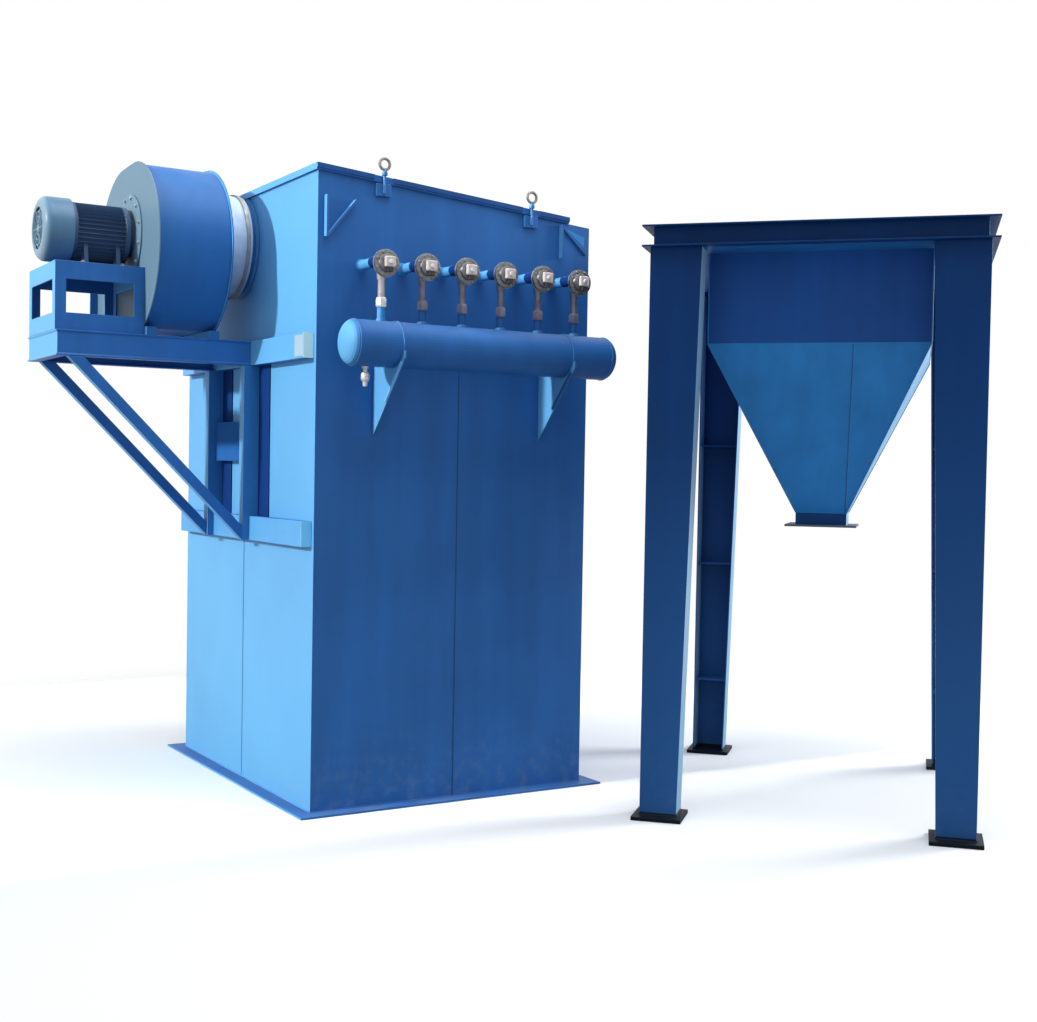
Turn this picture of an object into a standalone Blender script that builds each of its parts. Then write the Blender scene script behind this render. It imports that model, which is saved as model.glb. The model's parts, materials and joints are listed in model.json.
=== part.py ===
"""Baghouse dust collector: filter housing with its fan, and the hopper section on its legs.

Metres, +Z up. The origin is the near left bottom corner of the housing walls, on the floor.
+X runs along the front wall, which carries the pulse valves, and +Y runs back along the fan side.
"""
import math

import bmesh
import bpy
from mathutils import Matrix, Vector

# Fits
SEAT = 0.0003
OVERLAP = 0.002
OVERRUN = 0.050
WELD = 0.00005

# Filter housing
HOUSING_WIDTH = 1.50
HOUSING_DEPTH = 1.78
HOUSING_HEIGHT = 3.00
ROOF_FALL = 0.114
WALL = 0.006
BASE_FLANGE_THICKNESS = 0.010
BASE_FLANGE_OUT = 0.080
BASE_FLANGE_IN = 0.050
ROOF_SHEET = 0.006
ROOF_COVER_THICKNESS = 0.030
ROOF_COVER_LIP = 0.012
ROOF_COVER_SHORT = 0.130

# Lifting eyes on the front and rear edges of the roof cover, placed from its two ends
EYE_LEFT_INSET = 0.338
EYE_RIGHT_INSET = 0.230
EYE_PAD_WIDTH = 0.076
EYE_PAD_HEIGHT = 0.060
EYE_PAD_THICKNESS = 0.016
EYE_RADIUS = 0.026
EYE_WIRE = 0.007
EYE_STEM = 0.030
EYE_STEM_FOOT = 0.012

# Ribs and plate at the upper corners of the front wall; drops are taken from the housing's height
RIB_THICKNESS = 0.010
RIB_DEPTH = 0.030
LEFT_RIB_INSET = 0.036
LEFT_RIB_FOOT_DROP = 0.332
LEFT_RIB_TOP_DROP = 0.142
LEFT_RIB_SPREAD = 0.146
LEFT_RIB_SLANT_DROP = 0.152
RIGHT_RIB_INSET = 0.178
RIGHT_RIB_FOOT_DROP = 0.315
RIGHT_RIB_TOP_DROP = 0.147
RIGHT_PLATE_SHOULDER = (0.122, 0.155)
RIGHT_PLATE_TOE = (0.156, 0.285)

# Compressed air tank and its brackets, centred on the front wall
TANK_RADIUS = 0.105
TANK_WALL = 0.006
TANK_LENGTH = 1.470
TANK_SHIFT = 0.015
TANK_DOME = 0.055
TANK_OUT = 0.209
TANK_DROP = 0.826
BRACKET_SPREAD = 0.459
BRACKET_SHIFT = 0.006
BRACKET_THICKNESS = 0.010
BRACKET_HEIGHT = 0.414
BRACKET_TIP_OUT = 0.325
BRACKET_TIP_DROP = 0.035
BRACKET_HEAD = 0.030
DRAIN_INSET = 0.120
DRAIN_PIPE_RADIUS = 0.010
DRAIN_PIPE_LENGTH = 0.090
DRAIN_BODY_RADIUS = 0.018
DRAIN_BODY_LENGTH = 0.040
DRAIN_BODY_DROP = 0.027
DRAIN_LEVER_LENGTH = 0.036
DRAIN_LEVER_SIDE = 0.012

# Pulse valves between the tank and the wall
VALVE_COUNT = 6
VALVE_PITCH = 0.210
VALVE_DROP = 0.447
VALVE_HEAD_DROP = 0.018
VALVE_BODY_RADIUS = 0.063
VALVE_BODY_BACK = 0.022
VALVE_BODY_FRONT = 0.062
VALVE_CAP_RADIUS = 0.046
VALVE_CAP_RIM = 0.003
VALVE_CAP = 0.012
PILOT_RADIUS = 0.020
PILOT = 0.006
COIL_SIDE = 0.056
COIL_LENGTH = 0.025
BLOW_PIPE_RADIUS = 0.024
RISER_RADIUS = 0.017
RISER_NUT_RADIUS = 0.028
RISER_NUT_HEIGHT = 0.045
RISER_STUB_RADIUS = 0.019
RISER_STUB_HEIGHT = 0.060

# Channel frame on the fan side wall, and the platform that it carries
CHANNEL = 0.120
UPPER_BEAM_DROP = 0.890
BEAM_SPACING = 0.870
WALL_BEAM_DEPTH = 0.050
WALL_BEAM_INSET = 0.030
POST_DEPTH = 0.085
SHAFT_Y = 0.980
PLATFORM_WIDTH = 0.580
PLATFORM_REACH = 1.000
BEAM_WIDTH = 0.060
MID_PLATE_RISE = 0.394
MID_PLATE_HEIGHT = 0.202
MID_PLATE_DEPTH = 0.040
BRACE_SIDE = 0.050
BRACE_SHORT = 0.055

# Fan; the foot flat cuts a little off the bottom of each round
FAN_FOOT_HEIGHT = 0.040
FAN_FOOT_WIDTH = 0.050
SHAFT_RISE = 0.460
CASING_OUT = 0.215
CASING_WIDTH = 0.363
SIDE_PLATE = 0.006
SIDE_PLATE_LIP = 0.012
NEAR_ROUND_OFFSET = -0.055
NEAR_ROUND_RADIUS = 0.415
NEAR_ROUND_CUT = 0.023
REAR_ROUND_OFFSET = 0.110
REAR_ROUND_RADIUS = 0.450
REAR_ROUND_CUT = 0.098
OUTLET_REACH = 0.580
OUTLET_HEIGHT = 0.340
OUTLET_RECESS = 0.150
OUTLET_WALL = 0.010
OUTLET_FLANGE_OUT = 0.040
OUTLET_FLANGE_DOWN = 0.030
OUTLET_FLANGE_THICKNESS = 0.008
CONNECTOR_RADIUS = 0.265
SPIGOT_RADIUS = 0.235
SPIGOT_LENGTH = 0.035

# Motor and its stand
MOTOR_CENTRE_HEIGHT = 0.1765
MOTOR_RADIUS = 0.140
MOTOR_LENGTH = 0.304
MOTOR_NOSE_RADIUS = 0.105
MOTOR_NOSE = 0.030
MOTOR_SHOULDER = 0.012
MOTOR_FOOT_WIDTH = 0.050
MOTOR_FOOT_SPREAD = 0.110
MOTOR_FOOT_THICKNESS = 0.018
MOTOR_FOOT_INSET = 0.030
MOTOR_FOOT_SHORT = 0.050
SADDLE_INSET = 0.060
SADDLE_SHORT = 0.080
SADDLE_LIFT = 0.004
SADDLE_SINK = 0.050
COWL_RADIUS = 0.155
COWL_LENGTH = 0.140
COWL_DOME = 0.045
STAND_WIDTH = 0.520
STAND_WALL = 0.008
STAND_POST = 0.052
STAND_TOP_RAIL = 0.085
STAND_BOTTOM_RAIL = 0.082

# Hopper section, as wide and as deep as the housing, placed from the housing's front right corner
HOPPER_OFFSET = (-0.170, -0.755)
HOPPER_TURN = math.radians(-47.3)
FRAME_HEIGHT = 0.100
FRAME_TOP = 2.750
FRAME_WEB = 0.008
FRAME_FLANGE = 0.048
FRAME_FLANGE_THICKNESS = 0.008
FRAME_FLANGE_OUT = 0.035
LEG_TOP_WIDTH = 0.240
LEG_FOOT_WIDTH = 0.172
LEG_DEPTH = 0.140
LEG_PLATE = 0.008
LEG_STIFFENERS = (0.420, 1.090, 1.765)
FOOT_FRONT = 0.060
FOOT_SIDE = 0.030
FOOT_THICKNESS = 0.018
SKIRT_INSET = 0.240
SKIRT_DROP = 0.525
NECK_DROP = 1.325
NECK_HEIGHT = 0.060
HOPPER_PLATE = 0.006
OUTLET_SIDE = 0.250
HOPPER_FLANGE_OUT = 0.050
HOPPER_FLANGE_THICKNESS = 0.010
LEDGE_THICKNESS = 0.006

# Facets
ROUND_SIDES = 48
VALVE_SIDES = 24
PIPE_SIDES = 16
SMALL_SIDES = 12
NUT_SIDES = 6

# Places that follow from the sizes
MIDDLE_X = HOUSING_WIDTH / 2
TANK_HEIGHT = HOUSING_HEIGHT - TANK_DROP
VALVE_HEIGHT = HOUSING_HEIGHT - VALVE_DROP
UPPER_BEAM_FOOT = HOUSING_HEIGHT - UPPER_BEAM_DROP
LOWER_BEAM_FOOT = UPPER_BEAM_FOOT - BEAM_SPACING
PLATFORM_TOP = UPPER_BEAM_FOOT + CHANNEL
PLATFORM_NEAR = SHAFT_Y - PLATFORM_WIDTH / 2
PLATFORM_FAR = SHAFT_Y + PLATFORM_WIDTH / 2
SCROLL_FOOT = PLATFORM_TOP + FAN_FOOT_HEIGHT
SHAFT_HEIGHT = SCROLL_FOOT + SHAFT_RISE
CASING_END = -CASING_OUT
CASING_START = CASING_END - CASING_WIDTH
OUTLET_PLANE = SHAFT_Y + OUTLET_REACH
OUTLET_TOP = SCROLL_FOOT + OUTLET_HEIGHT
MOTOR_START = CASING_START - MOTOR_LENGTH
STAND_TOP = SHAFT_HEIGHT - MOTOR_CENTRE_HEIGHT
FRAME_FOOT = FRAME_TOP - FRAME_HEIGHT


def reset_scene():
    """Clear the file's objects and return the collections for the pieces and the cutters."""
    for old in list(bpy.data.objects):
        bpy.data.objects.remove(old, do_unlink=True)
    model = bpy.data.collections.new("baghouse_dust_collector")
    tools = bpy.data.collections.new("cutters")
    for group in (model, tools):
        bpy.context.scene.collection.children.link(group)
    return model, tools


MODEL, CUTTERS = reset_scene()


def paint(name, colour, roughness, metallic):
    """Make a Principled material."""
    material = bpy.data.materials.new(name)
    material.use_nodes = True
    shader = material.node_tree.nodes["Principled BSDF"]
    shader.inputs["Base Color"].default_value = (*colour, 1.0)
    shader.inputs["Roughness"].default_value = roughness
    shader.inputs["Metallic"].default_value = metallic
    return material


FINISHES = {
    "blue": ((0.05, 0.24, 0.50), 0.45, 0.0),
    "navy": ((0.02, 0.09, 0.26), 0.45, 0.0),
    "motor": ((0.03, 0.07, 0.14), 0.45, 0.0),
    "cowl": ((0.30, 0.40, 0.46), 0.40, 0.3),
    "canvas": ((0.55, 0.57, 0.68), 0.90, 0.0),
    "valve": ((0.55, 0.53, 0.50), 0.35, 0.8),
    "steel": ((0.60, 0.60, 0.58), 0.30, 0.9),
}


def place(name, mesh, finish, parent=None):
    """Put a mesh in the model under a piece's name, with a material of its own."""
    piece = bpy.data.objects.new(name, mesh)
    MODEL.objects.link(piece)
    mesh.materials.clear()
    mesh.materials.append(paint(name + "_finish", *FINISHES[finish]))
    piece.parent = parent
    return piece


def box_mesh(low, high):
    """A box between two corners."""
    low, high = Vector(low), Vector(high)
    cage = bmesh.new()
    bmesh.ops.create_cube(cage, size=1.0)
    size = high - low
    bmesh.ops.transform(cage, matrix=Matrix.Translation((low + high) / 2) @ Matrix.Diagonal((*size, 1.0)),
                        verts=cage.verts)
    mesh = bpy.data.meshes.new("box")
    cage.to_mesh(mesh)
    cage.free()
    return mesh


def rod_mesh(start, end, radius, sides=PIPE_SIDES, end_radius=None):
    """A round bar between two points, or a tapered one."""
    start, end = Vector(start), Vector(end)
    along = end - start
    cage = bmesh.new()
    bmesh.ops.create_cone(cage, cap_ends=True, segments=sides, radius1=radius,
                          radius2=radius if end_radius is None else end_radius, depth=along.length)
    turn = along.to_track_quat("Z", "Y").to_matrix().to_4x4()
    bmesh.ops.transform(cage, matrix=Matrix.Translation((start + end) / 2) @ turn, verts=cage.verts)
    mesh = bpy.data.meshes.new("rod")
    cage.to_mesh(mesh)
    cage.free()
    return mesh


TURNS = {
    "X": Matrix(((0, 0, 1, 0), (1, 0, 0, 0), (0, 1, 0, 0), (0, 0, 0, 1))),
    "Y": Matrix(((1, 0, 0, 0), (0, 0, -1, 0), (0, 1, 0, 0), (0, 0, 0, 1))),
    "Z": Matrix.Identity(4),
}


def baked_mesh(source):
    """The evaluated mesh of an object in world space, welded; the object is removed."""
    bpy.context.view_layer.update()
    graph = bpy.context.evaluated_depsgraph_get()
    mesh = bpy.data.meshes.new_from_object(source.evaluated_get(graph))
    mesh.transform(source.matrix_world)
    cage = bmesh.new()
    cage.from_mesh(mesh)
    bmesh.ops.remove_doubles(cage, verts=cage.verts, dist=WELD)
    bmesh.ops.recalc_face_normals(cage, faces=cage.faces)
    cage.to_mesh(mesh)
    cage.free()
    bpy.data.objects.remove(source, do_unlink=True)
    return mesh


def plate_mesh(normal, start, end, *outlines):
    """A flat plate: closed outlines filled and carried from start to end along an axis.

    Outlines are (Y, Z) pairs for normal X, (X, Z) pairs for normal Y and (X, Y) pairs for normal Z;
    an outline inside the first one is a hole.
    """
    curve = bpy.data.curves.new("plate", "CURVE")
    curve.dimensions = "2D"
    curve.fill_mode = "BOTH"
    curve.extrude = abs(end - start) / 2
    for outline in outlines:
        spline = curve.splines.new("POLY")
        spline.points.add(len(outline) - 1)
        for point, (u, v) in zip(spline.points, outline):
            point.co = (u, v, 0.0, 1.0)
        spline.use_cyclic_u = True
    source = bpy.data.objects.new("plate", curve)
    MODEL.objects.link(source)
    axis = Vector([float(letter == normal) for letter in "XYZ"])
    source.matrix_world = Matrix.Translation(axis * (start + end) / 2) @ TURNS[normal]
    return baked_mesh(source)


def turned_mesh(profile, base, axis, closed=False, sides=ROUND_SIDES):
    """A turned shape: (radius, height) pairs down its outer side, spun about the axis through base."""
    mesh = bpy.data.meshes.new("profile")
    count = len(profile)
    edges = [(i, i + 1) for i in range(count - 1)]
    if closed:
        edges.append((count - 1, 0))
    mesh.from_pydata([(radius, 0.0, height) for radius, height in profile], edges, [])
    source = bpy.data.objects.new("turned", mesh)
    MODEL.objects.link(source)
    screw = source.modifiers.new("Screw", "SCREW")
    screw.steps = sides
    screw.render_steps = sides
    screw.use_merge_vertices = True
    screw.merge_threshold = WELD
    turn = Vector(axis).to_track_quat("Z", "Y").to_matrix().to_4x4()
    source.matrix_world = Matrix.Translation(base) @ turn
    return baked_mesh(source)


def loft_mesh(lower, upper):
    """A closed body between two outlines of the same point count, each given as (height, points)."""
    cage = bmesh.new()
    rings = [[cage.verts.new((x, y, z)) for x, y in points] for z, points in (lower, upper)]
    count = len(rings[0])
    cage.faces.new(rings[0])
    cage.faces.new(rings[1])
    for corner in range(count):
        after = (corner + 1) % count
        cage.faces.new((rings[0][corner], rings[0][after], rings[1][after], rings[1][corner]))
    bmesh.ops.recalc_face_normals(cage, faces=cage.faces)
    mesh = bpy.data.meshes.new("loft")
    cage.to_mesh(mesh)
    cage.free()
    return mesh


def joined(operation, *meshes):
    """Unite meshes, or cut the later ones out of the first."""
    body = bpy.data.objects.new("body", meshes[0])
    MODEL.objects.link(body)
    for number, mesh in enumerate(meshes[1:]):
        cutter = bpy.data.objects.new(f"cutter_{number}", mesh)
        cutter.hide_render = True
        cutter.display_type = "WIRE"
        CUTTERS.objects.link(cutter)
        boolean = body.modifiers.new(f"Boolean_{number}", "BOOLEAN")
        boolean.operation = operation
        boolean.solver = "EXACT"
        boolean.object = cutter
    result = baked_mesh(body)
    for cutter in list(CUTTERS.objects):
        bpy.data.objects.remove(cutter, do_unlink=True)
    return result


def fused(*meshes):
    """One closed body from meshes that overlap."""
    return joined("UNION", *meshes)


def cut(*meshes):
    """The first mesh without the others."""
    return joined("DIFFERENCE", *meshes)


def smooth_rounds(piece, degrees=32.0):
    """Shade the round faces smooth and keep the real edges sharp."""
    piece.data.shade_smooth()
    piece.data.set_sharp_from_angle(angle=math.radians(degrees))


def arc(centre, radius, start, end, steps):
    """Points along a circle, angles in degrees from the first axis of its plane."""
    points = []
    for step in range(steps + 1):
        angle = math.radians(start + (end - start) * step / steps)
        points.append((centre[0] + radius * math.cos(angle), centre[1] + radius * math.sin(angle)))
    return points


def rectangle(low_u, low_v, high_u, high_v):
    """The corners of a rectangle."""
    return [(low_u, low_v), (high_u, low_v), (high_u, high_v), (low_u, high_v)]


# Heights along the roof's fall
WALL_FOOT = BASE_FLANGE_THICKNESS + SEAT
WALL_HEAD = HOUSING_HEIGHT - ROOF_COVER_THICKNESS - ROOF_SHEET - 2 * SEAT
ROOF_SLOPE = ROOF_FALL / HOUSING_WIDTH


def fall(x):
    """How far the roof has fallen at a place along the front."""
    return ROOF_SLOPE * x


def build_base_flange():
    """The flat bar ring under the walls."""
    out, inner = BASE_FLANGE_OUT, BASE_FLANGE_IN
    ring = plate_mesh("Z", 0.0, BASE_FLANGE_THICKNESS,
                      rectangle(-out, -out, HOUSING_WIDTH + out, HOUSING_DEPTH + out),
                      rectangle(inner, inner, HOUSING_WIDTH - inner, HOUSING_DEPTH - inner))
    place("base_flange", ring, "blue")


def build_walls():
    """Front and rear walls over the full width, side walls between them."""
    gable = [(0.0, WALL_FOOT), (HOUSING_WIDTH, WALL_FOOT),
             (HOUSING_WIDTH, WALL_HEAD - ROOF_FALL), (0.0, WALL_HEAD)]
    place("front_wall", plate_mesh("Y", 0.0, WALL, gable), "blue")
    place("rear_wall", plate_mesh("Y", HOUSING_DEPTH - WALL, HOUSING_DEPTH, gable), "blue")
    near, far = WALL + SEAT, HOUSING_DEPTH - WALL - SEAT
    place("fan_side_wall", box_mesh((0.0, near, WALL_FOOT), (WALL, far, WALL_HEAD - fall(WALL))), "blue")
    place("right_wall", box_mesh((HOUSING_WIDTH - WALL, near, WALL_FOOT),
                                 (HOUSING_WIDTH, far, WALL_HEAD - ROOF_FALL)), "blue")


def build_roof():
    """The roof sheet, which falls to the right, and the cover on it."""
    under = WALL_HEAD + SEAT
    sheet = [(0.0, under), (HOUSING_WIDTH, under - ROOF_FALL),
             (HOUSING_WIDTH, under + ROOF_SHEET - ROOF_FALL), (0.0, under + ROOF_SHEET)]
    place("roof_sheet", plate_mesh("Y", 0.0, HOUSING_DEPTH, sheet), "blue")
    seat = under + ROOF_SHEET + SEAT
    end = HOUSING_WIDTH - ROOF_COVER_SHORT
    cover = [(-ROOF_COVER_LIP, seat - fall(-ROOF_COVER_LIP)), (end, seat - fall(end)),
             (end, seat + ROOF_COVER_THICKNESS - fall(end)),
             (-ROOF_COVER_LIP, seat + ROOF_COVER_THICKNESS - fall(-ROOF_COVER_LIP))]
    place("roof_cover", plate_mesh("Y", -ROOF_COVER_LIP, HOUSING_DEPTH + ROOF_COVER_LIP, cover), "blue")


def eye_mesh(x, wall, outward):
    """A pad against the wall with a stem and a ring over the roof's edge."""
    head = HOUSING_HEIGHT - fall(x + EYE_PAD_WIDTH / 2) - ROOF_COVER_THICKNESS - 3 * SEAT
    low_y, high_y = sorted((wall + outward * SEAT, wall + outward * (SEAT + EYE_PAD_THICKNESS)))
    pad = box_mesh((x - EYE_PAD_WIDTH / 2, low_y, head - EYE_PAD_HEIGHT),
                   (x + EYE_PAD_WIDTH / 2, high_y, head))
    stem_y = wall + outward * (ROOF_COVER_LIP + SEAT + EYE_WIRE)
    top = HOUSING_HEIGHT - fall(x) + EYE_STEM
    stem = rod_mesh((x, stem_y, head - EYE_PAD_HEIGHT + EYE_STEM_FOOT), (x, stem_y, top),
                    EYE_WIRE, SMALL_SIDES)
    wire = [(EYE_RADIUS + EYE_WIRE * u, EYE_WIRE * v) for u, v in arc((0.0, 0.0), 1.0, 90, -225, 7)]
    ring = turned_mesh(wire, (x, stem_y, top + EYE_RADIUS), (0.0, 1.0, 0.0), True, PIPE_SIDES)
    return fused(pad, stem, ring)


def build_lifting_eyes():
    """Two eyes on the front edge and two on the rear edge."""
    left = EYE_LEFT_INSET - ROOF_COVER_LIP
    right = HOUSING_WIDTH - ROOF_COVER_SHORT - EYE_RIGHT_INSET
    for side, wall, outward in (("front", 0.0, -1.0), ("rear", HOUSING_DEPTH, 1.0)):
        for hand, x in (("left", left), ("right", right)):
            eye = place(f"lifting_eye_{side}_{hand}", eye_mesh(x, wall, outward), "steel")
            smooth_rounds(eye)


def slanted_bar(start, end, thickness, depth):
    """A flat bar on the front wall between two (X, Z) points."""
    (x0, z0), (x1, z1) = start, end
    length = math.hypot(x1 - x0, z1 - z0)
    side = Vector((-(z1 - z0), x1 - x0)) * (thickness / 2 / length)
    outline = [(x0 + side.x, z0 + side.y), (x0 - side.x, z0 - side.y),
               (x1 - side.x, z1 - side.y), (x1 + side.x, z1 + side.y)]
    return plate_mesh("Y", -depth - SEAT, -SEAT, outline)


def build_corner_ribs():
    """The vee of two ribs at the left corner, the rib with its plate at the right."""
    height = HOUSING_HEIGHT
    foot = (LEFT_RIB_INSET, height - LEFT_RIB_FOOT_DROP)
    top = (LEFT_RIB_INSET, height - LEFT_RIB_TOP_DROP)
    slant_top = (LEFT_RIB_INSET + LEFT_RIB_SPREAD, height - LEFT_RIB_SLANT_DROP)
    left = fused(slanted_bar(foot, top, RIB_THICKNESS, RIB_DEPTH),
                 slanted_bar(foot, slant_top, RIB_THICKNESS, RIB_DEPTH))
    place("corner_ribs_left", left, "blue")
    x = HOUSING_WIDTH - RIGHT_RIB_INSET
    rib_top = (x, height - RIGHT_RIB_TOP_DROP)
    plate = [rib_top]
    plate += [(x + across, height - drop) for across, drop in (RIGHT_PLATE_SHOULDER, RIGHT_PLATE_TOE)]
    right = fused(slanted_bar((x, height - RIGHT_RIB_FOOT_DROP), rib_top, RIB_THICKNESS, RIB_DEPTH),
                  plate_mesh("Y", -RIB_THICKNESS - SEAT, -SEAT, plate))
    place("corner_ribs_right", right, "blue")


def build_air_tank():
    """A horizontal tube with a domed end on each side."""
    half = TANK_LENGTH / 2 - TANK_DOME
    middle = MIDDLE_X + TANK_SHIFT
    start, end = middle - half, middle + half
    inner = TANK_RADIUS - TANK_WALL
    tube = [(TANK_RADIUS, end - start), (TANK_RADIUS, 0.0), (inner, 0.0), (inner, end - start)]
    shell = turned_mesh(tube, (start, -TANK_OUT, TANK_HEIGHT), (1.0, 0.0, 0.0), True)
    smooth_rounds(place("air_tank_shell", shell, "blue"))
    outer_dome = [(TANK_RADIUS * u, TANK_DOME * v) for u, v in arc((0.0, 0.0), 1.0, 90, 0, 8)]
    outer_dome[0] = (0.0, TANK_DOME)
    inner_dome = [(inner * u, (TANK_DOME - TANK_WALL) * v) for u, v in arc((0.0, 0.0), 1.0, 0, 90, 6)]
    inner_dome[-1] = (0.0, TANK_DOME - TANK_WALL)
    for hand, x, way in (("left", start - SEAT, -1.0), ("right", end + SEAT, 1.0)):
        dome = turned_mesh(outer_dome + inner_dome, (x, -TANK_OUT, TANK_HEIGHT), (way, 0.0, 0.0))
        smooth_rounds(place(f"air_tank_end_{hand}", dome, "blue"))


def build_drain_cock():
    """A short pipe under the tank near its left end, with a cock and its lever."""
    x = MIDDLE_X + TANK_SHIFT - TANK_LENGTH / 2 + DRAIN_INSET
    y = -TANK_OUT
    head = TANK_HEIGHT - TANK_RADIUS - SEAT
    body_top = head - DRAIN_BODY_DROP
    body_foot = body_top - DRAIN_BODY_LENGTH
    lever_half = DRAIN_LEVER_SIDE / 2
    lever_z = (body_top + body_foot) / 2
    cock = fused(rod_mesh((x, y, head), (x, y, head - DRAIN_PIPE_LENGTH), DRAIN_PIPE_RADIUS, SMALL_SIDES),
                 rod_mesh((x, y, body_top), (x, y, body_foot), DRAIN_BODY_RADIUS, SMALL_SIDES),
                 box_mesh((x - lever_half, y - DRAIN_LEVER_LENGTH, lever_z - lever_half),
                          (x + lever_half, y, lever_z + lever_half)))
    smooth_rounds(place("tank_drain_cock", cock, "steel"))


def build_tank_brackets():
    """A triangular plate under each end of the tank, with a round seat for it."""
    tip = TANK_HEIGHT - BRACKET_TIP_DROP
    shoulder = TANK_HEIGHT - TANK_RADIUS + BRACKET_HEAD
    outline = [(-SEAT, TANK_HEIGHT - BRACKET_HEIGHT), (-SEAT, shoulder),
               (-TANK_OUT + TANK_RADIUS, shoulder), (-TANK_OUT, TANK_HEIGHT),
               (-BRACKET_TIP_OUT, tip), (-BRACKET_TIP_OUT, tip - BRACKET_HEAD)]
    middle = MIDDLE_X + BRACKET_SHIFT
    for hand, x in (("left", middle - BRACKET_SPREAD), ("right", middle + BRACKET_SPREAD)):
        low, high = x - BRACKET_THICKNESS / 2, x + BRACKET_THICKNESS / 2
        blank = plate_mesh("X", low, high, outline)
        seat = rod_mesh((low - OVERRUN, -TANK_OUT, TANK_HEIGHT), (high + OVERRUN, -TANK_OUT, TANK_HEIGHT),
                        TANK_RADIUS + SEAT, ROUND_SIDES)
        place(f"tank_bracket_{hand}", cut(blank, seat), "blue")


def valve_mesh(x):
    """A diaphragm valve with its coil, its riser from the tank and its blow pipe into the wall."""
    y, z = -TANK_OUT, VALVE_HEIGHT
    head = z - VALVE_HEAD_DROP
    front = y - VALVE_BODY_FRONT
    cap = front - VALVE_CAP
    coil = cap - PILOT
    foot = TANK_HEIGHT + TANK_RADIUS + SEAT
    stub = foot + RISER_STUB_HEIGHT
    nut = stub + RISER_NUT_HEIGHT
    half = COIL_SIDE / 2
    return fused(
        rod_mesh((x, y - VALVE_BODY_BACK, head), (x, front, head), VALVE_BODY_RADIUS, VALVE_SIDES),
        rod_mesh((x, front + OVERLAP, head), (x, cap, head), VALVE_BODY_RADIUS - VALVE_CAP_RIM, VALVE_SIDES,
                 VALVE_CAP_RADIUS),
        rod_mesh((x, cap + OVERLAP, head), (x, coil - OVERLAP, head), PILOT_RADIUS),
        box_mesh((x - half, coil - COIL_LENGTH, head - half), (x + half, coil, head + half)),
        rod_mesh((x, -SEAT, z), (x, y - VALVE_BODY_BACK - OVERLAP, z), BLOW_PIPE_RADIUS),
        rod_mesh((x, y, nut - OVERLAP), (x, y, z), RISER_RADIUS),
        rod_mesh((x, y, stub - OVERLAP), (x, y, nut), RISER_NUT_RADIUS, NUT_SIDES),
        rod_mesh((x, y, foot), (x, y, stub), RISER_STUB_RADIUS))


def build_pulse_valves():
    """Six valves in a row, centred on the front wall."""
    first = MIDDLE_X - VALVE_PITCH * (VALVE_COUNT - 1) / 2
    for number in range(VALVE_COUNT):
        valve = place(f"pulse_valve_{number + 1}", valve_mesh(first + number * VALVE_PITCH), "valve")
        smooth_rounds(valve)


def build_wall_frame():
    """The upper beam, and the lower beam with two posts and the plate between them."""
    near, far = WALL_BEAM_INSET, HOUSING_DEPTH - WALL_BEAM_INSET
    place("upper_wall_beam", box_mesh((-WALL_BEAM_DEPTH, near, UPPER_BEAM_FOOT),
                                      (-SEAT, far, PLATFORM_TOP)), "blue")
    lower = box_mesh((-WALL_BEAM_DEPTH, near, LOWER_BEAM_FOOT), (-SEAT, far, LOWER_BEAM_FOOT + CHANNEL))
    head = UPPER_BEAM_FOOT - SEAT
    near_post = box_mesh((-POST_DEPTH, PLATFORM_NEAR, LOWER_BEAM_FOOT),
                         (-SEAT, PLATFORM_NEAR + BEAM_WIDTH, head))
    far_post = box_mesh((-POST_DEPTH, PLATFORM_FAR - BEAM_WIDTH, LOWER_BEAM_FOOT),
                        (-SEAT, PLATFORM_FAR, head))
    low = LOWER_BEAM_FOOT + MID_PLATE_RISE
    plate = box_mesh((-MID_PLATE_DEPTH, PLATFORM_NEAR + BEAM_WIDTH / 2, low),
                     (-SEAT, PLATFORM_FAR - BEAM_WIDTH / 2, low + MID_PLATE_HEIGHT))
    place("fan_wall_frame", fused(lower, near_post, far_post, plate), "blue")


def build_platform():
    """Two channel beams out from the wall beam, closed by an end beam."""
    foot, head = UPPER_BEAM_FOOT, PLATFORM_TOP
    wall_end = -WALL_BEAM_DEPTH - SEAT
    near, far = PLATFORM_NEAR + BEAM_WIDTH, PLATFORM_FAR - BEAM_WIDTH
    beam_near = box_mesh((-PLATFORM_REACH, PLATFORM_NEAR, foot), (wall_end, near, head))
    beam_far = box_mesh((-PLATFORM_REACH, far, foot), (wall_end, PLATFORM_FAR, head))
    inner = -PLATFORM_REACH + BEAM_WIDTH
    end_beam = box_mesh((-PLATFORM_REACH, near + SEAT, foot), (inner, far - SEAT, head))
    place("platform_beam_near", beam_near, "blue")
    place("platform_beam_far", beam_far, "blue")
    place("platform_end_beam", end_beam, "blue")


def build_braces():
    """A slanted bar from each post's foot to the outer end of its beam."""
    head = UPPER_BEAM_FOOT - SEAT
    toe = -POST_DEPTH - SEAT
    foot = LOWER_BEAM_FOOT
    tip = -PLATFORM_REACH + BRACE_SHORT
    angle = math.atan2(head - foot - BRACE_SIDE, toe - tip)
    wide = BRACE_SIDE / math.sin(angle)
    tall = BRACE_SIDE / math.cos(angle)
    outline = [(toe, foot), (toe, foot + tall), (tip + wide, head), (tip, head)]
    for hand, y in (("near", PLATFORM_NEAR), ("far", PLATFORM_FAR - BRACE_SIDE)):
        place(f"brace_{hand}", plate_mesh("Y", y, y + BRACE_SIDE, outline), "blue")


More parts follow.
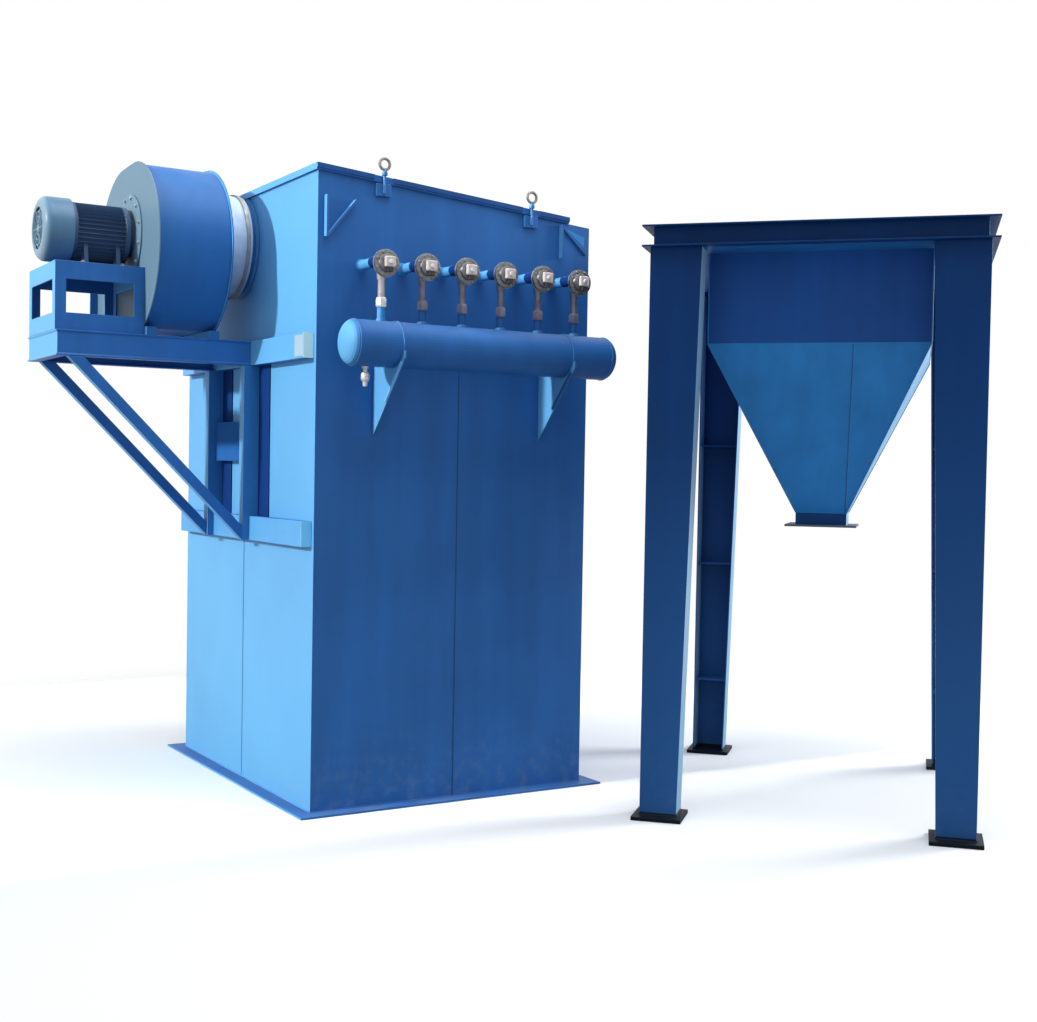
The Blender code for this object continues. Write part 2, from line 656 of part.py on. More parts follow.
def scroll_outline(grow=0.0):
    """The fan casing seen along the shaft: round on the near side and over the top, flat below.

    The outlet leaves to the rear at the bottom. grow widens the round parts.
    """
    near = (SHAFT_Y + NEAR_ROUND_OFFSET, SCROLL_FOOT + NEAR_ROUND_RADIUS - NEAR_ROUND_CUT)
    rear = (SHAFT_Y + REAR_ROUND_OFFSET, SCROLL_FOOT + REAR_ROUND_RADIUS - REAR_ROUND_CUT)
    near_radius, rear_radius = NEAR_ROUND_RADIUS + grow, REAR_ROUND_RADIUS + grow
    start = 180 + math.degrees(math.asin((near[1] - SCROLL_FOOT) / near_radius))
    end = math.degrees(math.asin((OUTLET_TOP - rear[1]) / rear_radius))
    points = [(OUTLET_PLANE, SCROLL_FOOT)]
    points += arc(near, near_radius, start, 92, 20)
    points += arc(rear, rear_radius, 84, end, 12)
    points.append((OUTLET_PLANE, OUTLET_TOP))
    return points


def build_fan_casing():
    """The scroll with its outlet, a plate on each side and the feet under it."""
    inner_start, inner_end = CASING_START + SIDE_PLATE + SEAT, CASING_END - SIDE_PLATE - SEAT
    scroll = plate_mesh("X", inner_start, inner_end, scroll_outline())
    recess = box_mesh((inner_start + OUTLET_WALL, OUTLET_PLANE - OUTLET_RECESS, SCROLL_FOOT + OUTLET_WALL),
                      (inner_end - OUTLET_WALL, OUTLET_PLANE + OVERRUN, OUTLET_TOP - OUTLET_WALL))
    smooth_rounds(place("fan_scroll", cut(scroll, recess), "blue"))
    wide = scroll_outline(SIDE_PLATE_LIP)
    place("fan_side_plate_motor", plate_mesh("X", CASING_START, CASING_START + SIDE_PLATE, wide), "blue")
    place("fan_side_plate_inlet", plate_mesh("X", CASING_END - SIDE_PLATE, CASING_END, wide), "blue")
    for side, x in (("motor", CASING_START), ("inlet", CASING_END - FAN_FOOT_WIDTH)):
        place(f"fan_foot_{side}", box_mesh((x, PLATFORM_NEAR, PLATFORM_TOP + SEAT),
                                           (x + FAN_FOOT_WIDTH, PLATFORM_FAR, SCROLL_FOOT - SEAT)), "blue")


def build_fan_outlet():
    """The flat bar frame round the casing's outlet."""
    out, wall = OUTLET_FLANGE_OUT, OUTLET_WALL
    low_x, high_x = CASING_START + SIDE_PLATE + SEAT + wall, CASING_END - SIDE_PLATE - SEAT - wall
    face = OUTLET_PLANE + SEAT
    ring = plate_mesh("Y", face, face + OUTLET_FLANGE_THICKNESS,
                      rectangle(CASING_START - out, SCROLL_FOOT - OUTLET_FLANGE_DOWN, CASING_END + out,
                                OUTLET_TOP + out),
                      rectangle(low_x, SCROLL_FOOT + wall, high_x, OUTLET_TOP - wall))
    place("fan_outlet_flange", ring, "blue")


def build_fan_inlet():
    """The canvas connector between the casing and the spigot on the wall."""
    start, end = CASING_END + SEAT, -SPIGOT_LENGTH - SEAT
    connector = rod_mesh((start, SHAFT_Y, SHAFT_HEIGHT), (end, SHAFT_Y, SHAFT_HEIGHT),
                         CONNECTOR_RADIUS, ROUND_SIDES)
    smooth_rounds(place("inlet_connector", connector, "canvas"))
    spigot = rod_mesh((-SPIGOT_LENGTH, SHAFT_Y, SHAFT_HEIGHT), (-SEAT, SHAFT_Y, SHAFT_HEIGHT),
                      SPIGOT_RADIUS, ROUND_SIDES)
    smooth_rounds(place("inlet_spigot", spigot, "blue"))


def build_motor():
    """The motor against the casing, on its feet."""
    nose_end = CASING_START - SEAT
    seat = STAND_TOP + SEAT
    length = nose_end - MOTOR_START
    barrel = [(0.0, length), (MOTOR_NOSE_RADIUS, length), (MOTOR_NOSE_RADIUS, length - MOTOR_NOSE),
              (MOTOR_RADIUS, length - MOTOR_NOSE - MOTOR_SHOULDER), (MOTOR_RADIUS, 0.0), (0.0, 0.0)]
    body = turned_mesh(barrel, (MOTOR_START, SHAFT_Y, SHAFT_HEIGHT), (1.0, 0.0, 0.0))
    half = MOTOR_FOOT_WIDTH / 2
    feet = [box_mesh((MOTOR_START + MOTOR_FOOT_INSET, SHAFT_Y + side * MOTOR_FOOT_SPREAD - half, seat),
                     (nose_end - MOTOR_FOOT_SHORT, SHAFT_Y + side * MOTOR_FOOT_SPREAD + half,
                      seat + MOTOR_FOOT_THICKNESS)) for side in (-1, 1)]
    saddle = box_mesh((MOTOR_START + SADDLE_INSET, SHAFT_Y - MOTOR_FOOT_SPREAD, seat + SADDLE_LIFT),
                      (nose_end - SADDLE_SHORT, SHAFT_Y + MOTOR_FOOT_SPREAD,
                       SHAFT_HEIGHT - MOTOR_RADIUS + SADDLE_SINK))
    smooth_rounds(place("motor_body", fused(body, saddle, *feet), "motor"))


def build_motor_cowl():
    """The domed cover over the motor's own fan."""
    dome = [(COWL_RADIUS * u, COWL_LENGTH - COWL_DOME + COWL_DOME * v)
            for u, v in arc((0.0, 0.0), 1.0, 90, 0, 8)]
    dome[0] = (0.0, COWL_LENGTH)
    cowl = turned_mesh(dome + [(COWL_RADIUS, 0.0), (0.0, 0.0)],
                       (MOTOR_START - SEAT, SHAFT_Y, SHAFT_HEIGHT), (-1.0, 0.0, 0.0))
    smooth_rounds(place("motor_cowl", cowl, "cowl"))


def build_motor_stand():
    """A folded box on the platform, open below, with a window in each side."""
    low = Vector((-PLATFORM_REACH, SHAFT_Y - STAND_WIDTH / 2, PLATFORM_TOP + SEAT))
    high = Vector((CASING_START - SEAT, SHAFT_Y + STAND_WIDTH / 2, STAND_TOP))
    wall = Vector((STAND_WALL, STAND_WALL, 0.0))
    room = box_mesh(low + wall - Vector((0.0, 0.0, OVERRUN)), high - wall - Vector((0.0, 0.0, STAND_WALL)))
    window_low, window_high = low.z + STAND_BOTTOM_RAIL, high.z - STAND_TOP_RAIL
    along_y = box_mesh((low.x + STAND_POST, low.y - OVERRUN, window_low),
                       (high.x - STAND_POST, high.y + OVERRUN, window_high))
    along_x = box_mesh((low.x - OVERRUN, low.y + STAND_POST, window_low),
                       (high.x + OVERRUN, high.y - STAND_POST, window_high))
    place("motor_stand", cut(box_mesh(low, high), room, along_y, along_x), "blue")


def hopper_origin():
    """An empty at the hopper section's front left corner, turned as the section stands."""
    empty = bpy.data.objects.new("hopper_section", None)
    empty.location = (HOUSING_WIDTH + HOPPER_OFFSET[0], HOPPER_OFFSET[1], 0.0)
    empty.rotation_euler = (0.0, 0.0, HOPPER_TURN)
    MODEL.objects.link(empty)
    return empty


def stacked_mesh(name, levels, closed):
    """Four-sided walls between rectangles, each given as (height, inset x, inset y) from the plan."""
    cage = bmesh.new()
    rings = []
    for z, inset_x, inset_y in levels:
        corners = rectangle(inset_x, inset_y, HOUSING_WIDTH - inset_x, HOUSING_DEPTH - inset_y)
        rings.append([cage.verts.new((x, y, z)) for x, y in corners])
    following = rings[1:] + (rings[:1] if closed else [])
    for ring, after in zip(rings, following):
        for side in range(4):
            corner = (side + 1) % 4
            cage.faces.new((ring[side], after[side], after[corner], ring[corner]))
    if closed:
        bmesh.ops.recalc_face_normals(cage, faces=cage.faces)
    mesh = bpy.data.meshes.new(name)
    cage.to_mesh(mesh)
    cage.free()
    return mesh


def build_hopper_frame(section):
    """The channel ring on top of the legs, flanges outward, mitred at the corners."""
    tip, web_out = -FRAME_FLANGE_OUT, FRAME_FLANGE - FRAME_FLANGE_OUT
    web_in = web_out + FRAME_WEB
    foot, head, thick = FRAME_FOOT, FRAME_TOP, FRAME_FLANGE_THICKNESS
    outline = [(foot, web_in), (foot, tip), (foot + thick, tip), (foot + thick, web_out),
               (head - thick, web_out), (head - thick, tip), (head, tip), (head, web_in)]
    frame = stacked_mesh("hopper_top_frame", [(z, inset, inset) for z, inset in outline], True)
    place("hopper_top_frame", frame, "navy", section)


def build_hopper_shell(section):
    """The skirt, the pyramid and the neck in one sheet shell."""
    neck_top = FRAME_TOP - NECK_DROP
    outlet_x, outlet_y = (HOUSING_WIDTH - OUTLET_SIDE) / 2, (HOUSING_DEPTH - OUTLET_SIDE) / 2
    levels = ((FRAME_FOOT + LEDGE_THICKNESS + SEAT, SKIRT_INSET, SKIRT_INSET),
              (FRAME_TOP - SKIRT_DROP, SKIRT_INSET, SKIRT_INSET),
              (neck_top, outlet_x, outlet_y),
              (neck_top - NECK_HEIGHT, outlet_x, outlet_y))
    shell = place("hopper_shell", stacked_mesh("hopper_shell", levels, False), "blue", section)
    solidify = shell.modifiers.new("Solidify", "SOLIDIFY")
    solidify.thickness = HOPPER_PLATE
    solidify.offset = -1.0
    solidify.use_even_offset = True


def build_hopper_ledge(section):
    """The flat ring between the frame's web and the skirt."""
    outer = FRAME_FLANGE - FRAME_FLANGE_OUT + FRAME_WEB + SEAT
    inner = SKIRT_INSET - SEAT
    low = FRAME_FOOT + SEAT
    ledge = plate_mesh("Z", low, low + LEDGE_THICKNESS,
                       rectangle(outer, outer, HOUSING_WIDTH - outer, HOUSING_DEPTH - outer),
                       rectangle(inner, inner, HOUSING_WIDTH - inner, HOUSING_DEPTH - inner))
    place("hopper_ledge", ledge, "navy", section)


def build_hopper_outlet(section):
    """The flat bar flange under the neck."""
    middle_x, middle_y = HOUSING_WIDTH / 2, HOUSING_DEPTH / 2
    wide, hole = OUTLET_SIDE / 2 + HOPPER_FLANGE_OUT, OUTLET_SIDE / 2 - HOPPER_PLATE
    head = FRAME_TOP - NECK_DROP - NECK_HEIGHT - SEAT
    flange = plate_mesh("Z", head - HOPPER_FLANGE_THICKNESS, head,
                        rectangle(middle_x - wide, middle_y - wide, middle_x + wide, middle_y + wide),
                        rectangle(middle_x - hole, middle_y - hole, middle_x + hole, middle_y + hole))
    place("hopper_outlet_flange", flange, "navy", section)


def leg_mesh():
    """The front left leg: a tapered channel, web to the front, with stiffeners, a cap and a foot."""
    foot, head = FOOT_THICKNESS - OVERLAP, FRAME_FOOT - SEAT

    def width(z):
        """The leg's width at a height."""
        return LEG_FOOT_WIDTH + (LEG_TOP_WIDTH - LEG_FOOT_WIDTH) * z / head

    def channel(z):
        """The leg's outline at a height, as (X, Y) points."""
        wide, plate, deep = width(z), LEG_PLATE, LEG_DEPTH
        return [(0.0, 0.0), (wide, 0.0), (wide, deep), (wide - plate, deep), (wide - plate, plate),
                (plate, plate), (plate, deep), (0.0, deep)]

    sunk = LEG_PLATE / 2
    pieces = [loft_mesh((foot, channel(foot)), (head, channel(head))),
              box_mesh((-FOOT_SIDE, -FOOT_FRONT, 0.0),
                       (LEG_FOOT_WIDTH + FOOT_SIDE, LEG_DEPTH + FOOT_SIDE, FOOT_THICKNESS))]
    for z in (*LEG_STIFFENERS, head - LEG_PLATE - sunk):
        pieces.append(box_mesh((sunk, sunk, z), (width(z) - sunk, LEG_DEPTH - sunk, z + LEG_PLATE)))
    return fused(*pieces)


def build_legs(section):
    """The four legs, each the mirror image of the next across the section's middle."""
    pattern = leg_mesh()
    for side, flip_y in (("front", False), ("rear", True)):
        for hand, flip_x in (("left", False), ("right", True)):
            mesh = pattern.copy()
            scale = Matrix.Diagonal((-1.0 if flip_x else 1.0, -1.0 if flip_y else 1.0, 1.0, 1.0))
            far_x = HOUSING_WIDTH if flip_x else 0.0
            far_y = HOUSING_DEPTH if flip_y else 0.0
            mesh.transform(Matrix.Translation((far_x, far_y, 0.0)) @ scale)
            if flip_x != flip_y:
                mesh.flip_normals()
            place(f"leg_{side}_{hand}", mesh, "navy", section)
    bpy.data.meshes.remove(pattern)


def main():
    """Build the housing, the air side, the fan and the hopper section."""
    build_base_flange()
    build_walls()
    build_roof()
    build_lifting_eyes()
    build_corner_ribs()
    build_air_tank()
    build_drain_cock()
    build_tank_brackets()
    build_pulse_valves()
    build_wall_frame()
    build_platform()
    build_braces()
    build_fan_casing()
    build_fan_outlet()
    build_fan_inlet()
    build_motor()
    build_motor_cowl()
    build_motor_stand()
    section = hopper_origin()
    build_hopper_frame(section)
    build_hopper_shell(section)
    build_hopper_ledge(section)
    build_hopper_outlet(section)
    build_legs(section)
    bpy.context.view_layer.update()


main()
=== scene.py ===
"""Looks of a pulse-jet dust collector: filter housing with its fan, and the hopper section on legs.

Metres, +Z up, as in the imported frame. +X runs along the front wall and +Y back along the fan side.
Each sub-assembly is a class. New surfaces are worked out as whole arrays of points.
"""
from __future__ import annotations

import json
import logging
import math
from collections.abc import Iterator
from contextlib import contextmanager
from dataclasses import dataclass, field
from enum import Enum
from functools import cached_property

import bmesh
import bpy
import numpy as np
from mathutils import Matrix, Vector

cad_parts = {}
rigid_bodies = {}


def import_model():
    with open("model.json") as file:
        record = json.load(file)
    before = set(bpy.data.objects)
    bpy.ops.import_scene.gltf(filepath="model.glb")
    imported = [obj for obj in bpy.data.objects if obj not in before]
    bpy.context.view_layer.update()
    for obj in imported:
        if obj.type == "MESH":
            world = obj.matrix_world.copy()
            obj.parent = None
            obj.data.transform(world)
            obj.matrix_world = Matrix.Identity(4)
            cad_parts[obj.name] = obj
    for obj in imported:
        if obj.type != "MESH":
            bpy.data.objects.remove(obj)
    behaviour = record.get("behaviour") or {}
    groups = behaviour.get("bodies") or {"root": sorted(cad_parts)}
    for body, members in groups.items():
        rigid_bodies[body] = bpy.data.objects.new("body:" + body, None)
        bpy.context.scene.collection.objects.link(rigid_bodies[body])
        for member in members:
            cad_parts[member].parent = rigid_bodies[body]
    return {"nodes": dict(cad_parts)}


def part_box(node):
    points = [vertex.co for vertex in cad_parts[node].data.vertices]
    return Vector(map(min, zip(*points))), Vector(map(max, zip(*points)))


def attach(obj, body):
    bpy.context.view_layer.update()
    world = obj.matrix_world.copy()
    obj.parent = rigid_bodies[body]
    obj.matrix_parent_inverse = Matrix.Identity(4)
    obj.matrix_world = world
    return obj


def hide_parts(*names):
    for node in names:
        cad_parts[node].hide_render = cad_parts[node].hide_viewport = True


LOG = logging.getLogger("dust_collector")

TURN = 2.0 * math.pi
HOPPER_CORNER = (1.330, -0.755)
HOPPER_TURN = math.radians(-47.3)
STAND_OFF = 0.0004
SHARP_ANGLE = 32.0
FLAT_ANGLE = 0.6
MERGE_SHAPE = 1e-6
MERGE_CAD = 2e-5
WELD_RIPPLE = 0.22
FOOT_WELD = (0.012, 0.005, 0.016)
EDGE_WELD = (0.009, 0.003)
VALVES = range(1, 7)

Pair = tuple[float, float]
Point = tuple[float, float, float]
Colour = tuple[float, float, float]
Faces = list[list[int]]


class Axis(Enum):
    """The world axes, with the two that span the plane across each."""

    X = ((1.0, 0.0, 0.0), (0.0, 1.0, 0.0), (0.0, 0.0, 1.0))
    Y = ((0.0, 1.0, 0.0), (0.0, 0.0, 1.0), (1.0, 0.0, 0.0))
    Z = ((0.0, 0.0, 1.0), (1.0, 0.0, 0.0), (0.0, 1.0, 0.0))

    @property
    def frame(self) -> np.ndarray:
        """Rows: the axis itself, then the two across it."""
        return np.array(self.value)


class Slot(Enum):
    """The record's material slots."""

    HOUSING = "housing_paint"
    HOPPER = "hopper_paint"
    STAND = "hopper_stand_paint"
    FAN_SIDE = "fan_side_paint"
    MOTOR = "motor_paint"
    COWL = "cowl_steel"
    CANVAS = "connector_canvas"
    CASTING = "valve_casting"
    STEEL = "bright_steel"


# Shapes

@dataclass
class Form:
    """Points and faces of a shape."""

    points: np.ndarray
    faces: Faces

    def moved(self, matrix: Matrix) -> Form:
        """The shape after a transform: every point times the 4 x 4 matrix."""
        turn, shift = np.array(matrix.to_3x3()), np.array(matrix.translation)
        return Form(self.points @ turn.T + shift, self.faces)

    def repeated(self, places: np.ndarray) -> Form:
        """Copies of the shape: point(i, j) = place_i + point_j.

        Args:
            places: An (n, 3) array of shifts.

        Returns:
            One shape that holds all the copies.
        """
        count = len(self.points)
        faces = [[corner + count * copy for corner in face]
                 for copy in range(len(places)) for face in self.faces]
        return Form((self.points + places[:, None, :]).reshape(-1, 3), faces)


def joined(*forms: Form) -> Form:
    """One shape from several.

    Args:
        forms: The shapes.

    Returns:
        All their points and faces.
    """
    faces: Faces = []
    start = 0
    for form in forms:
        faces += [[corner + start for corner in face] for face in form.faces]
        start += len(form.points)
    return Form(np.concatenate([form.points for form in forms]), faces)


def lattice(rows: int, columns: int, ring: bool = False) -> Faces:
    """Four-sided faces between neighbours on a grid of points whose rows are loops.

    Args:
        rows: Points along the first parameter.
        columns: Points round the second parameter.
        ring: Join the last row to the first.

    Returns:
        The faces as lists of point numbers.
    """
    row, column = np.meshgrid(np.arange(rows if ring else rows - 1), np.arange(columns), indexing="ij")
    below, beside = (row + 1) % rows, (column + 1) % columns
    quads = np.stack([row * columns + column, below * columns + column,
                      below * columns + beside, row * columns + beside], axis=-1)
    return quads.reshape(-1, 4).tolist()


def capped(points: np.ndarray, rows: int, columns: int) -> Form:
    """A bar on a grid of points, its first and last row filled.

    Args:
        points: The grid, row by row.
        rows: Points along the bar.
        columns: Points round it.

    Returns:
        The closed solid.
    """
    total = rows * columns
    ends = [list(range(columns)), list(range(total - 1, total - columns - 1, -1))]
    return Form(points.reshape(-1, 3), lattice(rows, columns) + ends)


def turned(profile: list[Pair], base: Point, axis: Axis, sides: int = 48, closed: bool = False,
           way: float = 1.0) -> Form:
    """A turned shape: point(i, j) = base + height_i * axis + radius_i * (cos a_j * u + sin a_j * v).

    Args:
        profile: (radius, height) pairs.
        base: Where height is nought on the axis.
        axis: The axis of the turning.
        sides: Points round the axis.
        closed: Join the profile's end to its start, for a ring.
        way: -1 for heights that run against the axis.

    Returns:
        The surface.
    """
    along, across, up = axis.frame
    radius, height = np.array(profile).T
    angle = np.arange(sides) * TURN / sides
    round_part = np.cos(angle)[:, None] * across + np.sin(angle)[:, None] * up
    points = np.array(base) + way * height[:, None, None] * along + radius[:, None, None] * round_part
    return Form(points.reshape(-1, 3), lattice(len(profile), sides, closed))


def rectangle(first: float, second: float, low: float, high: float) -> list[Pair]:
    """A rectangle's corners, from first to second across and from low to high, as outline or profile."""
    return [(first, low), (second, low), (second, high), (first, high)]


def arc(end: float, steps: int, radius: float = 1.0) -> list[Pair]:
    """Points radius * (cos a, sin a) for a from 0 to the end in degrees, in so many steps."""
    angle = np.radians(np.linspace(0.0, end, steps + 1))
    return list(zip((radius * np.cos(angle)).tolist(), (radius * np.sin(angle)).tolist()))


def prism(outline: list[Pair] | np.ndarray, axis: Axis, start: float, end: float) -> Form:
    """A flat outline carried along an axis: point(i, j) = s_i * axis + a_j * u + b_j * v.

    Args:
        outline: Pairs (a, b) in the axis's own plane.
        axis: The axis to carry it along.
        start: The first place on the axis.
        end: The last place on the axis.

    Returns:
        The closed solid.
    """
    along, across, up = axis.frame
    pairs = np.array(outline)
    flat = pairs[:, :1] * across + pairs[:, 1:] * up
    return capped(np.concatenate([flat + start * along, flat + end * along]), 2, len(pairs))


def block(low: Point, high: Point) -> Form:
    """A bar between two corners, for pieces that get their edges rounded later."""
    return prism(rectangle(low[0], high[0], low[1], high[1]), Axis.Z, low[2], high[2])


def rod(start: Point, end: Point, radius: float, sides: int) -> Form:
    """A round bar along a slanted line.

    Args:
        start: The line's start.
        end: The line's end.
        radius: The bar's radius.
        sides: Points round it.

    Returns:
        The closed solid.
    """
    line = Vector(end) - Vector(start)
    bar = turned(rectangle(0.0, radius, 0.0, line.length), (0.0, 0.0, 0.0), Axis.Z, sides)
    turn = line.to_track_quat("Z", "Y").to_matrix().to_4x4()
    return bar.moved(Matrix.Translation(start) @ turn)


def weld(start: Point, end: Point, normal: Point, width: float = 0.007, height: float = 0.0025,
         pitch: float = 0.012) -> Form:
    """A weld bead: half an ellipse carried along a line, its size rippling with the pitch.

    size(s) = 1 - ripple * |sin(pi * s / pitch)|
    point(s, a) = p(s) + size(s) * (width / 2 * cos a * side + height * sin a * normal)

    Args:
        start: The line's start.
        end: The line's end.
        normal: The direction the bead stands out to.
        width: The bead's width.
        height: How far it stands out.
        pitch: The ripples' pitch.

    Returns:
        The bead, closed below.
    """
    first, last, out = np.array(start, float), np.array(end, float), np.array(normal, float)
    length = float(np.linalg.norm(last - first))
    along = (last - first) / length
    out = out / np.linalg.norm(out)
    side = np.cross(along, out)
    place = np.linspace(0.0, length, max(3, int(length / pitch * 4)))
    size = 1.0 - WELD_RIPPLE * np.abs(np.sin(math.pi * place / pitch))
    angle = np.radians(np.linspace(0.0, 180.0, 6))
    around = width / 2 * np.cos(angle)[:, None] * side + height * np.sin(angle)[:, None] * out
    points = first + place[:, None, None] * along + size[:, None, None] * around
    return capped(points, len(place), len(angle))


def mitred(outline: list[Pair], path: list[Pair]) -> Form:
    """A section carried along a level path with mitred corners: point(i, j) = p_i + out_j * m_i + z_j * up.

    m_i is the sum of the two neighbouring side normals over one plus their dot product.

    Args:
        outline: (out, z) pairs; out is measured to the right of the path.
        path: (x, y) corners of the path.

    Returns:
        The bar.
    """
    corners = np.array(path)
    steps = np.roll(corners, -1, axis=0) - corners
    steps[-1] = steps[-2]
    steps /= np.linalg.norm(steps, axis=1)[:, None]
    after = np.stack([steps[:, 1], -steps[:, 0]], axis=1)
    before = np.roll(after, 1, axis=0)
    before[0] = after[0]
    mitre = (before + after) / (1.0 + np.sum(before * after, axis=1))[:, None]
    out, z = np.array(outline).T
    level = corners[:, None, :] + out[None, :, None] * mitre[:, None, :]
    rise = np.broadcast_to(z[None, :, None], (*level.shape[:2], 1))
    return capped(np.concatenate([level, rise], axis=2), len(path), len(outline))


def bolt(base: Point, axis: Axis, radius: float, way: float = 1.0) -> Form:
    """A hexagon head on a washer.

    Args:
        base: The middle of the washer's seat.
        axis: The seat's normal.
        radius: The head's radius.
        way: 1 along the axis, -1 against it.

    Returns:
        The bolt's visible part.
    """
    washer = rectangle(0.0, 1.35 * radius, 0.0, 0.25 * radius)
    shares = ((0.0, 0.25), (1.0, 0.25), (1.0, 0.9), (0.8, 1.05), (0.0, 1.05))
    head = [(radius * across, radius * up) for across, up in shares]
    return joined(turned(washer, base, axis, 12, way=way), turned(head, base, axis, 6, way=way))


def bolt_circle(base: Point, axis: Axis, circle: float, count: int, radius: float) -> Form:
    """Bolts on a circle, against the axis: place_k = circle * (cos a_k * u + sin a_k * v).

    Args:
        base: The circle's centre on the face that the bolts sit on.
        axis: The face's normal.
        circle: The circle's radius.
        count: How many bolts.
        radius: The heads' radius.

    Returns:
        All the bolts.
    """
    _, across, up = axis.frame
    angle = (np.arange(count) + 0.5) * TURN / count
    places = circle * (np.cos(angle)[:, None] * across + np.sin(angle)[:, None] * up)
    return bolt(base, axis, radius, -1.0).repeated(places)


# Finishes

class Tree:
    """A node tree, filled node by node."""

    def __init__(self, owner: bpy.types.Material | bpy.types.World) -> None:
        """Switch on the owner's nodes."""
        owner.use_nodes = True
        self.nodes, self.links = owner.node_tree.nodes, owner.node_tree.links

    def feed(self, node: bpy.types.Node, inputs: dict) -> None:
        """Set or link a node's inputs.

        Args:
            node: The node.
            inputs: Values, signals or sockets, by the input's name or number.
        """
        for key, value in inputs.items():
            source = value.socket if isinstance(value, Signal) else value
            if isinstance(source, bpy.types.NodeSocket):
                self.links.new(source, node.inputs[key])
            else:
                node.inputs[key].default_value = source

    def node(self, kind: str, inputs: dict | None = None, **settings: str) -> bpy.types.Node:
        """Add a node.

        Args:
            kind: The node's type.
            inputs: What its inputs get.
            settings: Its own properties, set first.

        Returns:
            The node.
        """
        made = self.nodes.new(kind)
        for key, value in settings.items():
            setattr(made, key, value)
        self.feed(made, inputs or {})
        return made


@dataclass
class Signal:
    """A socket that carries a number through the nodes, with arithmetic."""

    tree: Tree
    socket: bpy.types.NodeSocket

    def _maths(self, operation: str, first: Signal | float, second: Signal | float) -> Signal:
        """One Math node on two values."""
        made = self.tree.node("ShaderNodeMath", {0: first, 1: second}, operation=operation)
        return Signal(self.tree, made.outputs[0])

    def __add__(self, other: Signal | float) -> Signal:
        """self + other."""
        return self._maths("ADD", self, other)

    def __sub__(self, other: Signal | float) -> Signal:
        """self - other."""
        return self._maths("SUBTRACT", self, other)

    def __rsub__(self, other: float) -> Signal:
        """other - self."""
        return self._maths("SUBTRACT", other, self)

    def __mul__(self, other: Signal | float) -> Signal:
        """self * other."""
        return self._maths("MULTIPLY", self, other)

    __radd__ = __add__
    __rmul__ = __mul__

    def at_most(self, other: Signal | float) -> Signal:
        """The smaller of two values."""
        return self._maths("MINIMUM", self, other)

    def at_least(self, other: Signal | float) -> Signal:
        """The larger of two values."""
        return self._maths("MAXIMUM", self, other)

    def ramp(self, low: float, high: float) -> Signal:
        """A smooth rise from 0 at low to 1 at high."""
        made = self.tree.node("ShaderNodeMapRange", {"Value": self, "From Min": low, "From Max": high},
                              interpolation_type="SMOOTHSTEP")
        return Signal(self.tree, made.outputs["Result"])


class Shading(Tree):
    """A material's nodes: patterns in object space, colour mixes and the surface's sockets."""

    def __init__(self, name: str) -> None:
        """Start a material with its surface shader."""
        self.material = bpy.data.materials.new(name)
        super().__init__(self.material)
        self.place = self.node("ShaderNodeTexCoord").outputs["Object"]
        self.normal = self.node("ShaderNodeNewGeometry").outputs["Normal"]
        self.upward, self.height = self.z_part(self.normal), self.z_part(self.place)

    def z_part(self, vector: bpy.types.NodeSocket) -> Signal:
        """The part of a vector along Z."""
        return Signal(self, self.node("ShaderNodeSeparateXYZ", {0: vector}).outputs[2])

    def towards(self, way: Point) -> Signal:
        """How squarely the surface faces a direction."""
        made = self.node("ShaderNodeVectorMath", {0: self.normal, 1: way}, operation="DOT_PRODUCT")
        return Signal(self, made.outputs["Value"])

    def noise(self, scale: float, detail: float = 3.0, stretch: Point = (1.0, 1.0, 1.0),
              roughness: float = 0.55) -> Signal:
        """A cloud pattern from 0 to 1.

        Args:
            scale: Patches per metre.
            detail: How many finer layers it has.
            stretch: Factors along each axis.
            roughness: The finer layers' weight.

        Returns:
            The pattern.
        """
        place = self.node("ShaderNodeMapping", {"Vector": self.place, "Scale": stretch}).outputs[0]
        made = self.node("ShaderNodeTexNoise", {"Vector": place, "Scale": scale, "Detail": detail,
                                                "Roughness": roughness})
        return Signal(self, made.outputs[0])

    def mix(self, first: Colour | bpy.types.NodeSocket, second: Colour | bpy.types.NodeSocket,
            share: Signal | float) -> bpy.types.NodeSocket:
        """A colour between two others.

        Args:
            first: The colour at share 0.
            second: The colour at share 1.
            share: How much of the second.

        Returns:
            The mixed colour's socket.
        """
        colours = {key: (*value, 1.0) if isinstance(value, tuple) else value
                   for key, value in ((6, first), (7, second))}
        return self.node("ShaderNodeMix", {0: share, **colours}, data_type="RGBA").outputs[2]

    def bump(self, height: Signal, distance: float,
             under: bpy.types.NodeSocket | None = None) -> bpy.types.NodeSocket:
        """A bump from a height pattern.

        Args:
            height: The pattern.
            distance: Its height in metres at 1.
            under: A bump below it.

        Returns:
            The normal's socket.
        """
        inputs = {"Height": height, "Distance": distance, "Strength": 1.0}
        if under is not None:
            inputs["Normal"] = under
        return self.node("ShaderNodeBump", inputs).outputs[0]

    def finish(self, inputs: dict) -> bpy.types.Material:
        """Set the surface's inputs and give the material."""
        self.feed(self.nodes["Principled BSDF"], inputs)
        return self.material


def tinted(colour: Colour, factor: float) -> Colour:
    """A colour times a factor."""
    return (colour[0] * factor, colour[1] * factor, colour[2] * factor)


